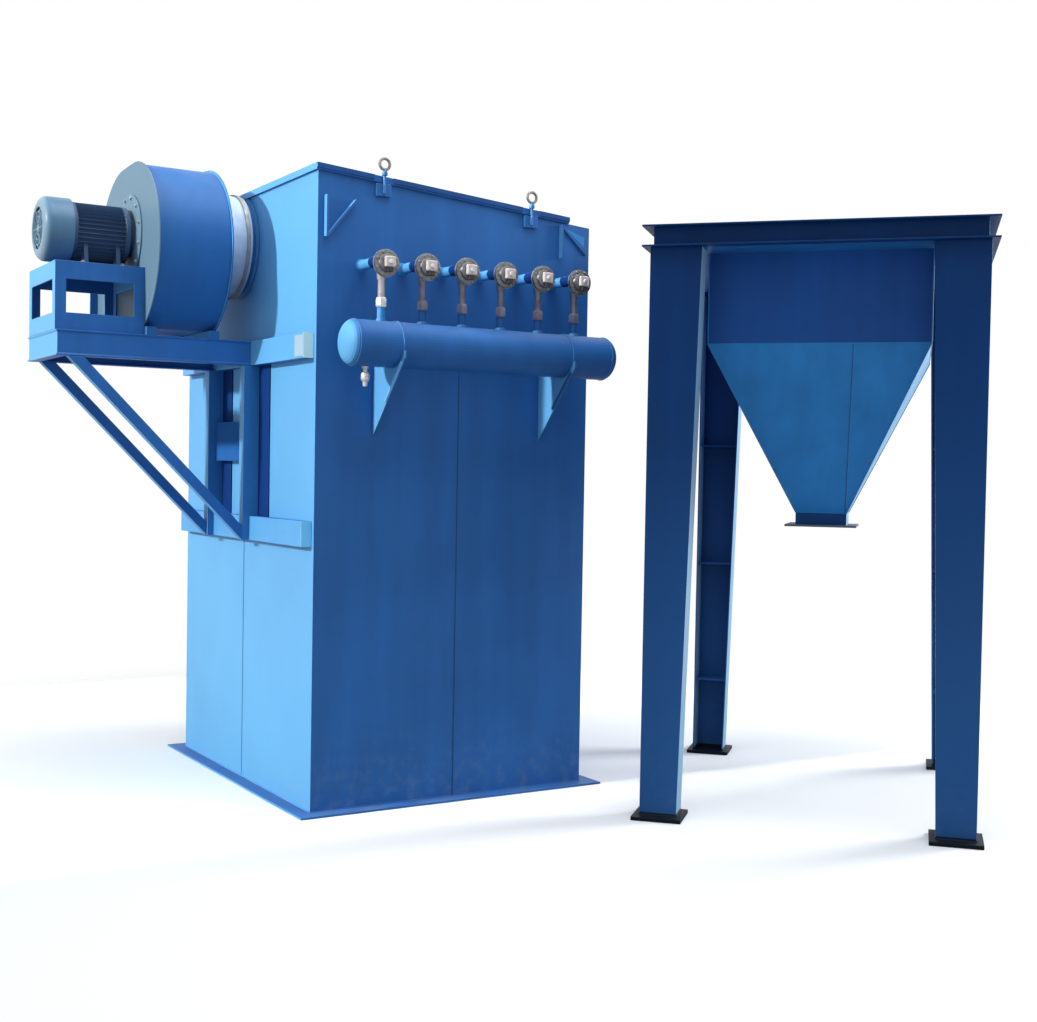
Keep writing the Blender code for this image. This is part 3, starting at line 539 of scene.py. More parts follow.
@dataclass(frozen=True)
class Enamel:
    """Sprayed paint on sheet steel: cloudy tone, runs, dust and chips, with painted light: a lighter colour on
    faces turned towards the light, lighter still higher up.
    """

    name: str
    colour: Colour
    lit_colour: Colour
    lit_share: float = 0.7
    lit_way: Point = (-1.0, 0.0, 0.0)
    roughness: float = 0.46
    dust: float = 0.16
    rust: float = 0.3
    waves: float = 0.004
    low_tint: float = 0.0
    foot_dark: float = 0.0
    sheen: float = 0.22
    low_tint_colour: Colour = (0.024, 0.113, 0.335)
    foot_dark_colour: Colour = (0.005, 0.009, 0.018)
    dust_colour: Colour = (0.36, 0.38, 0.38)
    rust_colour: Colour = (0.10, 0.045, 0.02)

    def build(self) -> bpy.types.Material:
        """Lay the coats from the ground tone up to the chips.

        Returns:
            The material.
        """
        nodes = Shading(self.name)
        height = nodes.height
        cloud = nodes.noise(1.4, 4.0)
        runs = nodes.noise(9.0, 3.0, (1.0, 1.0, 0.07))
        speck = nodes.noise(70.0, 4.0)
        tone = nodes.mix(tinted(self.colour, 0.84), tinted(self.colour, 1.16),
                         (cloud * 0.6 + runs * 0.4).ramp(0.30, 0.70))
        # Blend to a second colour lower down.
        tone = nodes.mix(tone, self.low_tint_colour, (1.0 - height.ramp(0.1, 2.3)) * self.low_tint)
        # Painted light: faces turned towards the light take the lighter lit colour, more so higher up.
        painted_light = nodes.towards(self.lit_way).ramp(0.30, 0.95) * self.lit_share * (0.75 + cloud * 0.5)
        tone = nodes.mix(tone, self.lit_colour, painted_light.at_most(1.0))
        tone = nodes.mix(tone, tinted(self.lit_colour, 1.3), painted_light.at_most(1.0) * height.ramp(1.4, 3.1) * 0.6)
        foot = (1.0 - height.ramp(0.0, 0.45)) * nodes.noise(16.0, 4.0).ramp(0.42, 0.75)
        lying = nodes.upward.ramp(0.55, 0.95) * nodes.noise(5.0, 4.0).ramp(0.25, 0.75)
        dusty = (foot * 0.8).at_least(lying) * self.dust
        tone = nodes.mix(tone, self.dust_colour, dusty)
        # Darker at the very foot.
        tone = nodes.mix(tone, self.foot_dark_colour, (1.0 - height.ramp(0.026, 0.034)) * self.foot_dark)
        chips = nodes.noise(23.0, 6.0, roughness=0.7).ramp(0.735, 0.765) * speck.ramp(0.45, 0.55) * self.rust
        tone = nodes.mix(tone, self.rust_colour, chips)
        gloss = self.roughness + (cloud - 0.5) * 0.14 + speck * 0.05 + dusty * 0.5 + chips * 0.4
        skin = nodes.bump(nodes.noise(240.0, 2.0), 0.00012)
        panel = nodes.bump(nodes.noise(1.9, 1.0), self.waves, skin)
        return nodes.finish({"Specular IOR Level": self.sheen, "Base Color": tone, "Roughness": gloss,
                             "Normal": nodes.bump(1.0 - chips, 0.0002, panel)})


@dataclass(frozen=True)
class Metal:
    """Bare or plated metal with stains and fine grain."""

    name: str
    colour: Colour
    stain: Colour
    metallic: float = 0.85
    roughness: float = 0.36
    stained: float = 0.5
    grain: float = 160.0

    def build(self) -> bpy.types.Material:
        """Mix grain and stains.

        Returns:
            The material.
        """
        nodes = Shading(self.name)
        patches = nodes.noise(26.0, 5.0).ramp(0.44, 0.68)
        grain = nodes.noise(self.grain)
        tone = nodes.mix(self.colour, tinted(self.colour, 0.72), grain)
        tone = nodes.mix(tone, self.stain, patches * self.stained)
        return nodes.finish({"Specular IOR Level": 0.5, "Base Color": tone,
                             "Roughness": self.roughness + grain * 0.16 + patches * 0.18,
                             "Metallic": self.metallic - patches * 0.25, "Normal": nodes.bump(grain, 0.0003)})


@dataclass(frozen=True)
class Canvas:
    """Coated canvas: a weave in two directions, creases and dust."""

    name: str
    colour: Colour
    soil: Colour
    thread: float = 0.0016

    def build(self) -> bpy.types.Material:
        """Mix weave, blots and a darker lower side.

        Returns:
            The material.
        """
        nodes = Shading(self.name)
        threads = 1.0 / self.thread
        weave = nodes.noise(threads, 1.0, (1.0, 1.0, 0.25)) * nodes.noise(threads, 1.0, (0.25, 1.0, 1.0))
        blots = nodes.noise(9.0, 5.0).ramp(0.40, 0.75)
        # Darker towards the bottom.
        low = 1.0 - nodes.height.ramp(2.45, 2.85)
        tone = nodes.mix(self.colour, self.soil, (blots * 0.45 + low * 0.55).at_most(1.0))
        tone = nodes.mix(tone, tinted(self.colour, 0.6), weave.ramp(0.20, 0.42) * 0.25)
        creases = nodes.bump(nodes.noise(14.0, 3.0, (0.5, 1.0, 1.0)), 0.004)
        return nodes.finish({"Sheen Weight": 0.2, "Sheen Roughness": 0.5, "Base Color": tone,
                             "Roughness": 0.80 + blots * 0.12, "Normal": nodes.bump(weave, 0.0012, creases)})


# Painted light: the lit colours that faces turned towards the light take, and the hopper's lit direction.
LIT_SIDE_BLUE, HOPPER_LIT_BLUE, HOPPER_LIT_WAY = (0.120, 0.385, 0.670), (0.32, 0.55, 0.75), (0.678, -0.735, 0.0)


class Look(Enum):
    """Every finish of the plant."""

    HOUSING = Enamel("housing_enamel", (0.021, 0.126, 0.390), LIT_SIDE_BLUE, lit_share=0.95)
    SEAM = Enamel("seam_enamel", (0.007, 0.060, 0.210), (0.070, 0.280, 0.520), dust=0.0)
    # Painted light: a lighter blue for the wall frame and its posts.
    LIT_POST = Enamel("wall_post_lit_enamel", (0.030, 0.185, 0.490), LIT_SIDE_BLUE)
    # Painted shadow: dark blue for the strip under the cover's edge.
    LIP_SHADOW = Enamel("roof_lip_shadow_enamel", (0.006, 0.068, 0.250), LIT_SIDE_BLUE)
    # Painted light: a lighter blue for lit faces.
    LIT_BLUE = Enamel("painted_light_blue_enamel", (0.030, 0.230, 0.560), LIT_SIDE_BLUE)
    # Painted shade: very dark blue for strips where shade falls.
    SHADE_STRIP = Enamel("post_strip_shade_enamel", (0.004, 0.028, 0.130), (0.007, 0.040, 0.180), sheen=0.06)
    # Painted highlights: bright blues and a pale tone for the beam ends and a beam face.
    LIT_CAP = Enamel("beam_cap_highlight_enamel", (0.185, 0.60, 0.95), (0.185, 0.60, 0.95))
    HIGHLIGHT_CAP = Enamel("pale_cap_highlight_enamel", (0.58, 0.86, 0.93), (0.38, 0.50, 0.56))
    HIGHLIGHT_PATCH = Enamel("pale_patch_highlight_enamel", (0.36, 0.50, 0.58), (0.36, 0.50, 0.58))
    # Painted shade: the wall blue without its lit colour.
    SHADED_TIE = Enamel("post_tie_shade_enamel", (0.026, 0.125, 0.38), (0.026, 0.125, 0.38), sheen=0.0)
    # Painted highlight: a bright blue for a bracket's edge.
    LIT_EDGE = Enamel("bracket_edge_highlight_enamel", (0.19, 0.50, 0.92), (0.19, 0.50, 0.92))
    SHADED = Enamel("shaded_stub_enamel", (0.014, 0.085, 0.27), (0.018, 0.105, 0.33))
    WRAP = Enamel("fan_wrap_enamel", (0.016, 0.115, 0.350), LIT_SIDE_BLUE, waves=0.002)
    PLATE = Enamel("fan_plate_enamel", (0.12, 0.22, 0.30), (0.125, 0.215, 0.285), dust=0.3)
    HOPPER = Enamel("hopper_enamel", (0.030, 0.255, 0.650), HOPPER_LIT_BLUE, lit_way=HOPPER_LIT_WAY)
    # Darker blue for the seam welds; on the ledge this lighter blue is a painted highlight.
    SEAM_AND_LIT_LEDGE = Enamel("hopper_seam_and_lit_ledge_enamel", (0.018, 0.155, 0.430), HOPPER_LIT_BLUE, lit_way=HOPPER_LIT_WAY)
    SKIRT = Enamel("hopper_skirt_enamel", (0.006, 0.082, 0.340), HOPPER_LIT_BLUE, lit_way=HOPPER_LIT_WAY)
    STAND = Enamel("hopper_stand_enamel", (0.002, 0.036, 0.150), HOPPER_LIT_BLUE, lit_way=HOPPER_LIT_WAY, rust=0.6,
                   waves=0.001, dust=0.05, low_tint=0.9, foot_dark=1.0, lit_share=0.8, sheen=0.12)
    OUTLET = Enamel("hopper_outlet_enamel", (0.11, 0.13, 0.18), (0.20, 0.23, 0.29), lit_way=HOPPER_LIT_WAY)
    MOTOR = Enamel("motor_enamel", (0.040, 0.082, 0.165), (0.05, 0.09, 0.15), lit_share=0.4, waves=0.0005)
    COWL = Enamel("cowl_enamel", (0.085, 0.185, 0.300), (0.19, 0.29, 0.36), lit_share=0.9, roughness=0.30,
                  waves=0.0005)
    CANVAS = Canvas("connector_cloth", (0.66, 0.80, 0.96), (0.36, 0.40, 0.54))
    CASTING = Metal("valve_alloy", (0.20, 0.21, 0.23), (0.10, 0.09, 0.09), stained=0.7)
    RIM = Metal("valve_rim_alloy", (0.66, 0.69, 0.72), (0.34, 0.33, 0.33), stained=0.4)
    RISER = Metal("riser_plating", (0.56, 0.52, 0.54), (0.26, 0.20, 0.20), metallic=0.6)
    COIL = Metal("coil_resin", (0.78, 0.69, 0.66), (0.50, 0.40, 0.34), metallic=0.0, roughness=0.5)
    # Painted shade: a darker copy of the riser plating.
    SHADED_RISER = Metal("riser_shaded", (0.20, 0.20, 0.28), (0.10, 0.09, 0.12), metallic=0.4)
    DULL = Metal("weathered_steel", (0.30, 0.30, 0.28), (0.16, 0.15, 0.12), metallic=0.5, roughness=0.5)
    STEEL = Metal("zinc_plate", (0.42, 0.43, 0.43), (0.22, 0.19, 0.16), stained=0.4)
    DARK = Metal("blackened_steel", (0.050, 0.052, 0.060), (0.09, 0.05, 0.03), metallic=0.5, roughness=0.5)

    @cached_property
    def material(self) -> bpy.types.Material:
        """The material, built when it is first used."""
        return self.value.build()


# Pieces

@contextmanager
def editing(mesh: bpy.types.Mesh) -> Iterator[bmesh.types.BMesh]:
    """A mesh as an editable cage, written back at the end.

    Args:
        mesh: The mesh.

    Yields:
        The cage.
    """
    cage = bmesh.new()
    cage.from_mesh(mesh)
    yield cage
    cage.to_mesh(mesh)
    cage.free()


def dress(name: str, mesh: bpy.types.Mesh, look: Look, slot: Slot, *replaces: str, bevel: float = 0.0,
          sharp: float = SHARP_ANGLE, segments: int = 2) -> bpy.types.Object:
    """Shade a mesh and put it on the fixed body.

    Args:
        name: The piece's name.
        mesh: Its mesh in world coordinates.
        look: Its finish.
        slot: The record's slot for it; not used.
        replaces: CAD nodes it stands for.
        bevel: The width of rounded edges.
        sharp: The angle past which an edge stays sharp.
        segments: Faces across a rounded edge.

    Returns:
        The object.
    """
    mesh.materials.clear()
    mesh.materials.append(look.material)
    mesh.shade_smooth()
    mesh.set_sharp_from_angle(angle=math.radians(sharp))
    piece = bpy.data.objects.new(name, mesh)
    bpy.context.scene.collection.objects.link(piece)
    if bevel > 0.0:
        rounded = piece.modifiers.new("Rounded edges", "BEVEL")
        rounded.width, rounded.segments = bevel, segments
        rounded.limit_method, rounded.angle_limit = "ANGLE", math.radians(sharp)
        rounded.harden_normals = True
    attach(piece, "root")
    if replaces:
        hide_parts(*replaces)
    return piece


def install(name: str, form: Form, look: Look, slot: Slot, *replaces: str, **edges: float) -> bpy.types.Object:
    """Make a piece of the plant from a shape: doubled points merged, faces turned outward.

    Args:
        name: The piece's name.
        form: Its shape in world coordinates.
        look: Its finish.
        slot: The record's slot for it; not used.
        replaces: CAD nodes it stands for.
        edges: bevel, sharp and segments, as dress takes them.

    Returns:
        The object.
    """
    mesh = bpy.data.meshes.new(name)
    mesh.from_pydata(form.points.tolist(), [], form.faces)
    with editing(mesh) as cage:
        bmesh.ops.remove_doubles(cage, verts=cage.verts, dist=MERGE_SHAPE)
        bmesh.ops.recalc_face_normals(cage, faces=cage.faces)
    return dress(name, mesh, look, slot, *replaces, **edges)


class Plant:
    """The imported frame's nodes: painted as they are, or softened copies of them."""

    def __init__(self) -> None:
        """Load the frame."""
        self.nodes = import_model()["nodes"]

    def paint(self, look: Look, slot: Slot, *nodes: str) -> None:
        """Give CAD nodes their finish.

        Args:
            look: The finish.
            slot: The record's slot; not used.
            nodes: The CAD nodes.
        """
        for node in nodes:
            piece = self.nodes[node]
            piece.data.materials.clear()
            piece.data.materials.append(look.material)

    def soften(self, look: Look, slot: Slot, width: float, *nodes: str) -> None:
        """Stand copies with rounded edges in the places of CAD nodes.

        Args:
            look: The copies' finish.
            slot: The record's slot; not used.
            width: How wide their edges are rounded.
            nodes: The CAD nodes.
        """
        for node in nodes:
            mesh = self.nodes[node].data.copy()
            mesh.name = f"{node}_finished"
            with editing(mesh) as cage:
                bmesh.ops.remove_doubles(cage, verts=cage.verts, dist=MERGE_CAD)
                bmesh.ops.dissolve_limit(cage, angle_limit=math.radians(FLAT_ANGLE), verts=cage.verts,
                                         edges=cage.edges)
            dress(f"{node}_finished", mesh, look, slot, node, bevel=width)


def middle(node: str) -> Point:
    """The middle of a CAD node's box."""
    low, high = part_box(node)
    return ((low.x + high.x) / 2, (low.y + high.y) / 2, (low.z + high.z) / 2)


@dataclass
class Housing:
    """Walls, roof, base flange and lifting eyes of the filter housing."""

    plant: Plant
    seam_width: float = 0.010
    seam_clear: float = 0.10
    fillet: Point = (0.010, 0.005, 0.016)
    lip_depth: float = 0.006
    lip_drop: float = 0.022
    lip_gap: float = 0.012
    patch_face: float = -0.0088
    patch_thickness: float = 0.002
    pad_depth: float = 0.016
    pad_height: float = 0.060
    stem_out: float = 0.0193
    eye_radius: float = 0.026
    eye_wire: float = 0.007
    width: float = field(init=False)
    depth: float = field(init=False)
    floor: float = field(init=False)
    head: float = field(init=False)
    slope: float = field(init=False)

    def __post_init__(self) -> None:
        """Read the housing's sizes from the frame."""
        low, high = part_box("front_wall")
        self.width, self.floor, self.head = high.x, low.z, high.z
        self.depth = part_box("rear_wall")[1].y
        self.slope = (self.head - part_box("roof_sheet")[0].z) / self.width

    def build(self) -> None:
        """Paint the sheets and add seams, lip and eyes."""
        self.plant.paint(Look.HOUSING, Slot.HOUSING, "front_wall", "rear_wall", "fan_side_wall", "right_wall",
                         "roof_sheet", "roof_cover")
        self.plant.soften(Look.HOUSING, Slot.HOUSING, 0.0015, "base_flange", "corner_ribs_left",
                          "corner_ribs_right")
        self.seams()
        self.lip()
        self.patch()
        self.eyes()

    def seams(self) -> None:
        """Butt welds down the middle of each wall, and the fillet round the base flange."""
        across, back, foot = self.width / 2, self.depth / 2, self.floor
        top = self.head - self.seam_clear
        seams = (((across, -STAND_OFF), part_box("air_tank_shell")[0].z, (0, -1, 0)),
                 ((across, self.depth + STAND_OFF), top - self.slope * across, (0, 1, 0)),
                 ((-STAND_OFF, back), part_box("fan_wall_frame")[0].z, (-1, 0, 0)),
                 ((self.width + STAND_OFF, back), top - self.slope * self.width, (1, 0, 0)))
        beads = [weld((*place, foot), (*place, head), way, self.seam_width) for place, head, way in seams]
        install("wall_seam_welds", joined(*beads), Look.SEAM, Slot.HOUSING)
        corners = rectangle(0.0, self.width, 0.0, self.depth)
        fillets = []
        for (x, y), (x_next, y_next) in zip(corners, corners[1:] + corners[:1]):
            out = Vector((y_next - y, x - x_next, 0.0)).normalized()
            fillets.append(weld((x, y, foot), (x_next, y_next, foot), (out.x, out.y, 1.0), *self.fillet))
        install("base_fillet_welds", joined(*fillets), Look.HOUSING, Slot.HOUSING)

    def lip(self) -> None:
        """The cover's folded lip on each side, broken at the lifting eyes, painted dark as painted shadow."""
        low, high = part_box("roof_cover")
        strips = []
        for side, wall, way in (("front", low.y, -1.0), ("rear", high.y, 1.0)):
            edges = [low.x]
            for hand in ("left", "right"):
                eye_low, eye_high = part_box(f"lifting_eye_{side}_{hand}")
                edges += [eye_low.x - self.lip_gap, eye_high.x + self.lip_gap]
            edges.append(high.x)
            first, last = sorted((wall + way * STAND_OFF, wall + way * self.lip_depth))
            for start, end in zip(edges[0::2], edges[1::2]):
                top, fallen = (high.z - self.slope * (x - low.x) for x in (start, end))
                outline = [(top - self.lip_drop, start), (top, start), (fallen, end),
                           (fallen - self.lip_drop, end)]
                strips.append(prism(outline, Axis.Y, first, last))
        install("roof_cover_lip_shadow", joined(*strips), Look.LIP_SHADOW, Slot.HOUSING)

    def patch(self) -> None:
        """The triangular plate's face at the right corner, in a lighter blue as painted light."""
        low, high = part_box("corner_ribs_right")
        top, shoulder = (high.z - 0.012, low.x + 0.026), (high.z - 0.050, high.x - 0.012)
        toe = (low.z + 0.070, high.x - 0.016)
        plate = prism([top, shoulder, toe], Axis.Y, self.patch_face - self.patch_thickness, self.patch_face)
        install("corner_patch", plate, Look.LIT_BLUE, Slot.HOUSING, bevel=0.0008)

    def eyes(self) -> None:
        """Each lifting eye as a painted pad and a plated eye bolt."""
        for side, wall, way in (("front", 0.0, -1.0), ("rear", self.depth, 1.0)):
            first, last = sorted((wall + way * STAND_OFF, wall + way * self.pad_depth))
            for hand in ("left", "right"):
                node = f"lifting_eye_{side}_{hand}"
                low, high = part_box(node)
                pad = block((low.x, first, low.z), (high.x, last, low.z + self.pad_height))
                install(f"{node}_pad", pad, Look.HOUSING, Slot.HOUSING, node, bevel=0.003)
                ring_z = high.z - self.eye_radius - self.eye_wire
                self.eye_bolt(f"{node}_bolt", (middle(node)[0], wall + way * self.stem_out, ring_z), low.z)

    def eye_bolt(self, name: str, centre: Point, foot: float) -> None:
        """A forged ring on a collar and shank.

        Args:
            name: The piece's name.
            centre: The ring's centre.
            foot: The pad's foot.
        """
        wire, radius = self.eye_wire, self.eye_radius
        ring = [(radius + wire * u, wire * v) for u, v in arc(330.0, 11)]
        shank = foot + 0.012 - centre[2]
        stem = [(0.0, shank), (wire, shank), (wire, -radius - 0.030), (wire * 2.0, -radius - 0.026),
                (wire * 2.1, -radius - 0.016), (wire * 1.2, -radius - 0.004), (0.0, -radius)]
        install(name, turned(ring, centre, Axis.Y, 32, closed=True), Look.DULL, Slot.STEEL)
        install(f"{name}_stem", turned(stem, centre, Axis.Z, 20), Look.HOUSING, Slot.HOUSING)


@dataclass
class AirTank:
    """The compressed air tank with its welds, straps, sockets and drain."""

    plant: Plant
    strap_width: float = 0.014
    strap_height: float = 0.005
    bar_width: float = 0.011
    bar_out: float = 0.010
    bar_share: float = 0.56
    radius: float = field(init=False)
    axis: Pair = field(init=False)

    def __post_init__(self) -> None:
        """Read the tank's place from the frame."""
        low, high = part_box("air_tank_shell")
        self.radius = (high.z - low.z) / 2
        self.axis = middle("air_tank_shell")[1:]

    def build(self) -> None:
        """Paint the tank and add its small parts."""
        self.plant.paint(Look.HOUSING, Slot.HOUSING, "air_tank_shell", "air_tank_end_left",
                         "air_tank_end_right")
        self.plant.soften(Look.HOUSING, Slot.HOUSING, 0.0012, "tank_bracket_left", "tank_bracket_right")
        self.bands()
        self.sockets()
        self.bracket_edges()
        self.drain()

    def bands(self) -> None:
        """The girth welds at both domes and the straps over the brackets."""
        radius = self.radius
        bead = [(radius + 0.0004 + 0.0022 * v, 0.005 * u) for u, v in arc(180.0, 6)] + [(radius - 0.001, 0.0)]
        ends = [corner.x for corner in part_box("air_tank_shell")]
        welds = [turned(bead, (x, *self.axis), Axis.X, 96, closed=True) for x in ends]
        install("tank_girth_welds", joined(*welds), Look.HOUSING, Slot.HOUSING)
        half = self.strap_width / 2
        strap = rectangle(radius + STAND_OFF, radius + self.strap_height, -half, half)
        for hand in ("left", "right"):
            base = (middle(f"tank_bracket_{hand}")[0], *self.axis)
            install(f"tank_strap_{hand}", turned(strap, base, Axis.X, 96, closed=True), Look.HOUSING,
                    Slot.HOUSING, bevel=0.001)

    def sockets(self) -> None:
        """A welded socket where each riser leaves the tank."""
        y, z = self.axis
        profile = [(0.0187, 0.010), (0.021, 0.009), (0.026, 0.0), (0.027, -0.006), (0.0187, -0.006)]
        xs = [middle(f"pulse_valve_{number}")[0] for number in VALVES]
        sockets = [turned(profile, (x, y, z + self.radius), Axis.Z, 24, closed=True) for x in xs]
        install("tank_riser_sockets", joined(*sockets), Look.HOUSING, Slot.HOUSING)

    def bracket_edges(self) -> None:
        """A bar along the upper half of each bracket's sloping edge, standing out on its left."""
        # The left bar is painted bright as a highlight and the right one darker as painted shade.
        for hand, look in (("left", Look.LIT_EDGE), ("right", Look.SHADED)):
            low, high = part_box(f"tank_bracket_{hand}")
            top, toe = Vector((low.y, high.z - 0.0345)), Vector((high.y, low.z))
            end = top.lerp(toe, self.bar_share)
            along = (toe - top).normalized()
            start, inward = top + along * 0.030, Vector((-along.y, along.x)) * self.bar_width
            bar = prism([tuple(corner) for corner in (start, end, end + inward, start + inward)], Axis.X,
                        low.x - self.bar_out, low.x - STAND_OFF)
            install(f"tank_bracket_{hand}_edge", bar, look, Slot.HOUSING, bevel=0.0008)

    def drain(self) -> None:
        """The drain cock: a nipple, a ball body, a nozzle and a lever."""
        low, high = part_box("tank_drain_cock")
        x, y, lever_z = middle("tank_drain_cock")[0], high.y - 0.018, high.z - (high.z - low.z) * 0.5
        profile = [(0.0, 0.0), (0.016, 0.0), (0.016, 0.10), (0.010, 0.12), (0.010, 0.27), (0.017, 0.32),
                   (0.020, 0.42), (0.020, 0.62), (0.017, 0.72), (0.012, 0.78), (0.010, 1.0), (0.0, 1.0)]
        body = turned([(radius, share * (high.z - low.z)) for radius, share in profile], (x, y, high.z),
                      Axis.Z, 24, way=-1.0)
        install("tank_drain_body", body, Look.RIM, Slot.STEEL, "tank_drain_cock")
        lever = prism(rectangle(lever_z - 0.003, lever_z + 0.003, x - 0.008, x + 0.008), Axis.Y,
                      y - 0.036, y - 0.012)
        install("tank_drain_lever", lever, Look.STEEL, Slot.STEEL, bevel=0.001)


@dataclass
class PulseValves:
    """Six diaphragm valves: cast body, bolted bonnet, coil, riser and blow pipe."""

    rim_radius: float = 0.063
    head_drop: float = 0.018
    head_out: float = 0.022
    pipe_radius: float = 0.024
    bare_share: float = 0.5
    riser_radius: float = 0.0185
    coil_side: float = 0.052
    coil_depth: float = 0.021
    smooth: float = 40.0

    def build(self) -> None:
        """Build every valve in the row."""
        y, top = middle("air_tank_shell")[1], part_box("air_tank_shell")[1].z
        for number in VALVES:
            node = f"pulse_valve_{number}"
            low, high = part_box(node)
            place = Vector((middle(node)[0], y, high.z - self.rim_radius))
            self.head(node, place, low.y)
            self.pipes(node, place + Vector((0.0, 0.0, self.head_drop)), top)

    def head(self, node: str, centre: Vector, front: float) -> None:
        """The valve's head.

        Args:
            node: The valve's name.
            centre: The head's centre on the riser's axis.
            front: The coil's outer face.
        """
        x, y, z = centre
        rim = self.rim_radius
        y -= self.head_out
        body = [(0.0, 0.0), (0.030, 0.0), (0.048, 0.007), (0.053, 0.013), (rim, 0.016), (rim, 0.022),
                (0.0, 0.022)]
        install(f"{node}_body", turned(body, (x, y, z), Axis.Y, way=-1.0), Look.RIM, Slot.CASTING, node,
                sharp=self.smooth)
        gasket = rectangle(rim - 0.003, rim - 0.001, 0.0, 0.003)
        install(f"{node}_gasket", turned(gasket, (x, y - 0.0225, z), Axis.Y, closed=True, way=-1.0),
                Look.DARK, Slot.CASTING)
        bonnet = [(0.0, 0.0), (rim - 0.001, 0.0), (rim - 0.001, 0.006), (rim - 0.008, 0.009), (0.044, 0.010),
                  (0.040, 0.020), (0.028, 0.025), (0.0, 0.025)]
        install(f"{node}_bonnet", turned(bonnet, (x, y - 0.0260, z), Axis.Y, way=-1.0), Look.CASTING,
                Slot.CASTING, sharp=self.smooth)
        bolts = bolt_circle((x, y - 0.0345, z), Axis.Y, rim - 0.010, 8, 0.0055)
        install(f"{node}_bolts", bolts, Look.DULL, Slot.STEEL)
        self.coil(node, centre, y - 0.049, front)

    def coil(self, node: str, centre: Vector, seat: float, front: float) -> None:
        """The solenoid coil: a rounded block on its stem, a nut in front and a plug below.

        Args:
            node: The valve's name.
            centre: The head's centre.
            seat: The bonnet's front face.
            front: The coil's outer face.
        """
        x, _, z = centre
        half, nut = self.coil_side / 2, front + 0.007
        back, foot = nut + self.coil_depth, z - half * 0.85
        stem = turned(rectangle(0.0, 0.013, 0.0, 0.010), (x, seat, z), Axis.Y, 20, way=-1.0)
        install(f"{node}_stem", stem, Look.RIM, Slot.CASTING)
        coil = block((x - half, nut, foot), (x + half, back, z + half))
        install(f"{node}_coil", coil, Look.COIL, Slot.CASTING, bevel=0.006, segments=3)
        cap = [(0.0, 0.0), (0.012, 0.0), (0.010, 0.006), (0.0, 0.007)]
        install(f"{node}_coil_nut", turned(cap, (x, nut, z), Axis.Y, 6, way=-1.0), Look.RIM, Slot.STEEL,
                bevel=0.0008)
        plug = block((x - 0.014, nut + 0.004, foot - 0.022), (x + 0.014, back - 0.003, foot - STAND_OFF))
        install(f"{node}_plug", plug, Look.DARK, Slot.CASTING, bevel=0.003)

    def pipes(self, node: str, centre: Vector, tank_top: float) -> None:
        """The riser with its union nut, and the blow pipe to the wall.

        Args:
            node: The valve's name.
            centre: Where the riser meets the blow pipe.
            tank_top: The tank's top.
        """
        x, y, z = centre
        nut, axis, wall = tank_top + 0.060, (x, y, 0.0), (x, -STAND_OFF, z)
        # Valve 1 gets the lit colours; the other valves get darker copies as painted shade.
        first = node == "pulse_valve_1"
        looks = (Look.RISER, Look.RIM, Look.LIT_BLUE) if first else (Look.SHADED_RISER, Look.SHADED_RISER, Look.SHADED)
        riser_look, union_look, stub_look = looks
        riser = [(0.0, z + 0.024), (0.014, z + 0.024), (0.022, z + 0.014), (0.022, z - 0.080),
                 (0.0165, z - 0.092), (0.0165, nut + 0.042), (0.0, nut + 0.042)]
        install(f"{node}_riser", turned(riser, axis, Axis.Z, 28), riser_look, Slot.CASTING)
        union = [(0.0, nut + 0.047), (0.021, nut + 0.047), (0.0275, nut + 0.038), (0.028, nut + 0.008),
                 (0.024, nut), (0.0, nut)]
        install(f"{node}_union", turned(union, axis, Axis.Z, 6), union_look, Slot.CASTING, bevel=0.0015)
        stub = rectangle(0.0, self.riser_radius, tank_top + 0.002, nut)
        install(f"{node}_stub", turned(stub, axis, Axis.Z, 28), stub_look, Slot.HOUSING)
        radius, reach = self.pipe_radius, self.head_out - y
        bare = reach * self.bare_share
        pipe = [(0.0, 0.0), (radius + 0.007, 0.0), (radius + 0.004, 0.004), (radius, 0.007), (radius, bare),
                (0.0, bare)]
        # The bare blow pipe is painted in the lit blue as painted light.
        install(f"{node}_blow_pipe", turned(pipe, wall, Axis.Y, 28, way=-1.0), Look.LIT_BLUE, Slot.HOUSING)
        # The sleeve's very dark blue is painted shade.
        sleeve = rectangle(0.0, radius + 0.003, reach * (self.bare_share + 0.01), reach)
        install(f"{node}_pipe_sleeve", turned(sleeve, wall, Axis.Y, 28, way=-1.0), Look.SHADE_STRIP, Slot.HOUSING,
                bevel=0.001)


